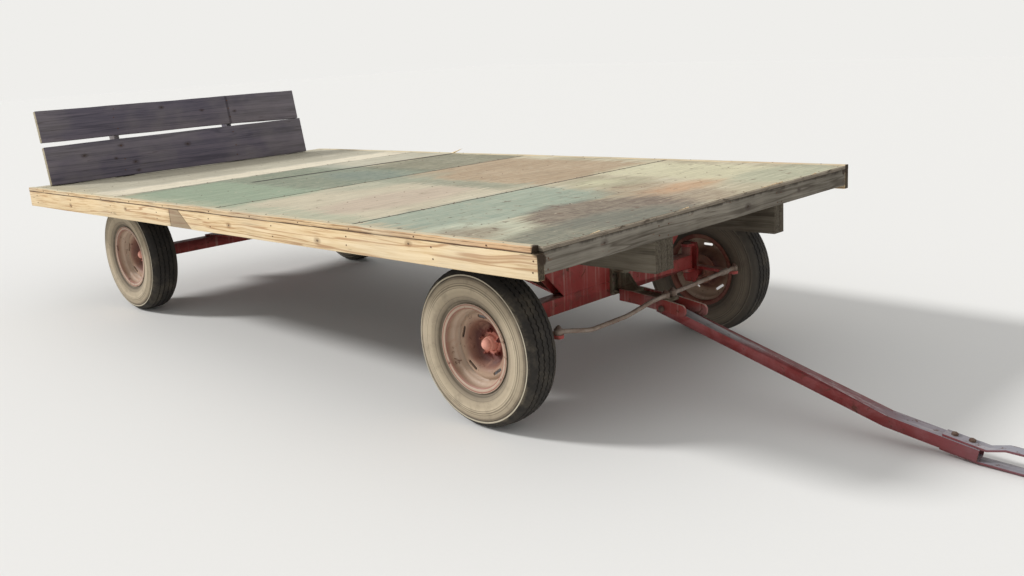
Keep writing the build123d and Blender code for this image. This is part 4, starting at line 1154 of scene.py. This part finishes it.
def splinters():
    shape = bmesh.new()
    for y, length, lift in SPLINTERS:
        part = stub(shape, 4, 0.0035, 0.0006, -length / 2, length / 2)
        bmesh.ops.scale(shape, verts=part, vec=(1.6, 0.7, 1))
        turned(shape, part, radians(90) + lift / length, "X")
        bmesh.ops.translate(shape, verts=part, vec=(0.0005, y, -0.0005 + lift / 2))
    part = stub(shape, 4, 0.007, 0.0008, -0.065, 0.065)
    turned(shape, part, radians(72), "Y")
    bmesh.ops.translate(shape, verts=part, vec=(-3.12, 1.232, 0.017))
    bmesh.ops.transform(shape, matrix=DECK, verts=shape.verts)
    made(shape, "edge_splinters", "wagon", "rail", 20)


splinters()


# Floor, light and camera
def floor():
    shape = bmesh.new()
    bmesh.ops.create_grid(shape, x_segments=1, y_segments=1, size=40)
    mesh = bpy.data.meshes.new("studio_floor")
    shape.to_mesh(mesh)
    shape.free()
    ground = bpy.data.objects.new("studio_floor", mesh)
    bpy.context.scene.collection.objects.link(ground)
    coat = Finish("studio_floor_paint", specular=0.1)
    speck = coat.mottle(coat.place, 60, 3)
    colour = coat.mix(speck, (228, 227, 224), (230, 229, 226))
    mesh.materials.append(coat.done(colour, 0.9, coat.lump(speck, 0.05, 0.001)))


floor()


def studio_sky():
    """A white sky lights the object; the camera and what is glossy or clear see it near-white."""
    world = bpy.data.worlds.new("studio")
    bpy.context.scene.world = world
    world.use_nodes = True
    tree = world.node_tree
    tree.nodes.clear()
    shades = []
    for colour, strength in (((1.0, 1.0, 1.0, 1.0), 0.66), (tone(239, 238, 235), 1.0)):
        shade = tree.nodes.new("ShaderNodeBackground")
        shade.inputs["Color"].default_value = colour
        shade.inputs["Strength"].default_value = strength
        shades.append(shade.outputs[0])
    path = tree.nodes.new("ShaderNodeLightPath")
    seen = path.outputs["Is Camera Ray"]
    for ray in ("Is Glossy Ray", "Is Transmission Ray"):
        either = tree.nodes.new("ShaderNodeMath")
        either.operation = "MAXIMUM"
        tree.links.new(seen, either.inputs[0])
        tree.links.new(path.outputs[ray], either.inputs[1])
        seen = either.outputs[0]
    blend = tree.nodes.new("ShaderNodeMixShader")
    for source, socket in zip((seen, *shades), blend.inputs):
        tree.links.new(source, socket)
    out = tree.nodes.new("ShaderNodeOutputWorld")
    tree.links.new(blend.outputs[0], out.inputs[0])


studio_sky()

lamp = bpy.data.lights.new("soft_sun", "SUN")
lamp.energy = 2.5
lamp.angle = radians(10)
sun = bpy.data.objects.new("soft_sun", lamp)
bpy.context.scene.collection.objects.link(sun)
toward_sun = Vector((-0.66, -0.50, 0.56))
sun.rotation_euler = toward_sun.to_track_quat("Z", "Y").to_euler()

# The photograph's camera, fitted to the deck: its place, its directions, its focal length in pixels
EYE = (2.41877 + FRONT_X, -3.83989, 1.73496)
LOOK = Vector((-0.68078, 0.68853, -0.24992))
RIGHT = Vector((0.71837, 0.69426, -0.04415))
UP = Vector((-0.14311, 0.20959, 0.96726))
FOCAL_LENGTH = 980.5
PICTURE_WIDTH = 1024
SENSOR_WIDTH = 36

lens = bpy.data.cameras.new("camera")
lens.sensor_width = SENSOR_WIDTH
lens.lens = FOCAL_LENGTH / PICTURE_WIDTH * SENSOR_WIDTH
lens.clip_end = 200
camera = bpy.data.objects.new("camera", lens)
bpy.context.scene.collection.objects.link(camera)
turning = Matrix((RIGHT, UP, -LOOK)).transposed()
camera.matrix_world = Matrix.Translation(EYE) @ turning.to_4x4()
bpy.context.scene.camera = camera
bpy.context.scene.view_settings.view_transform = "Standard"
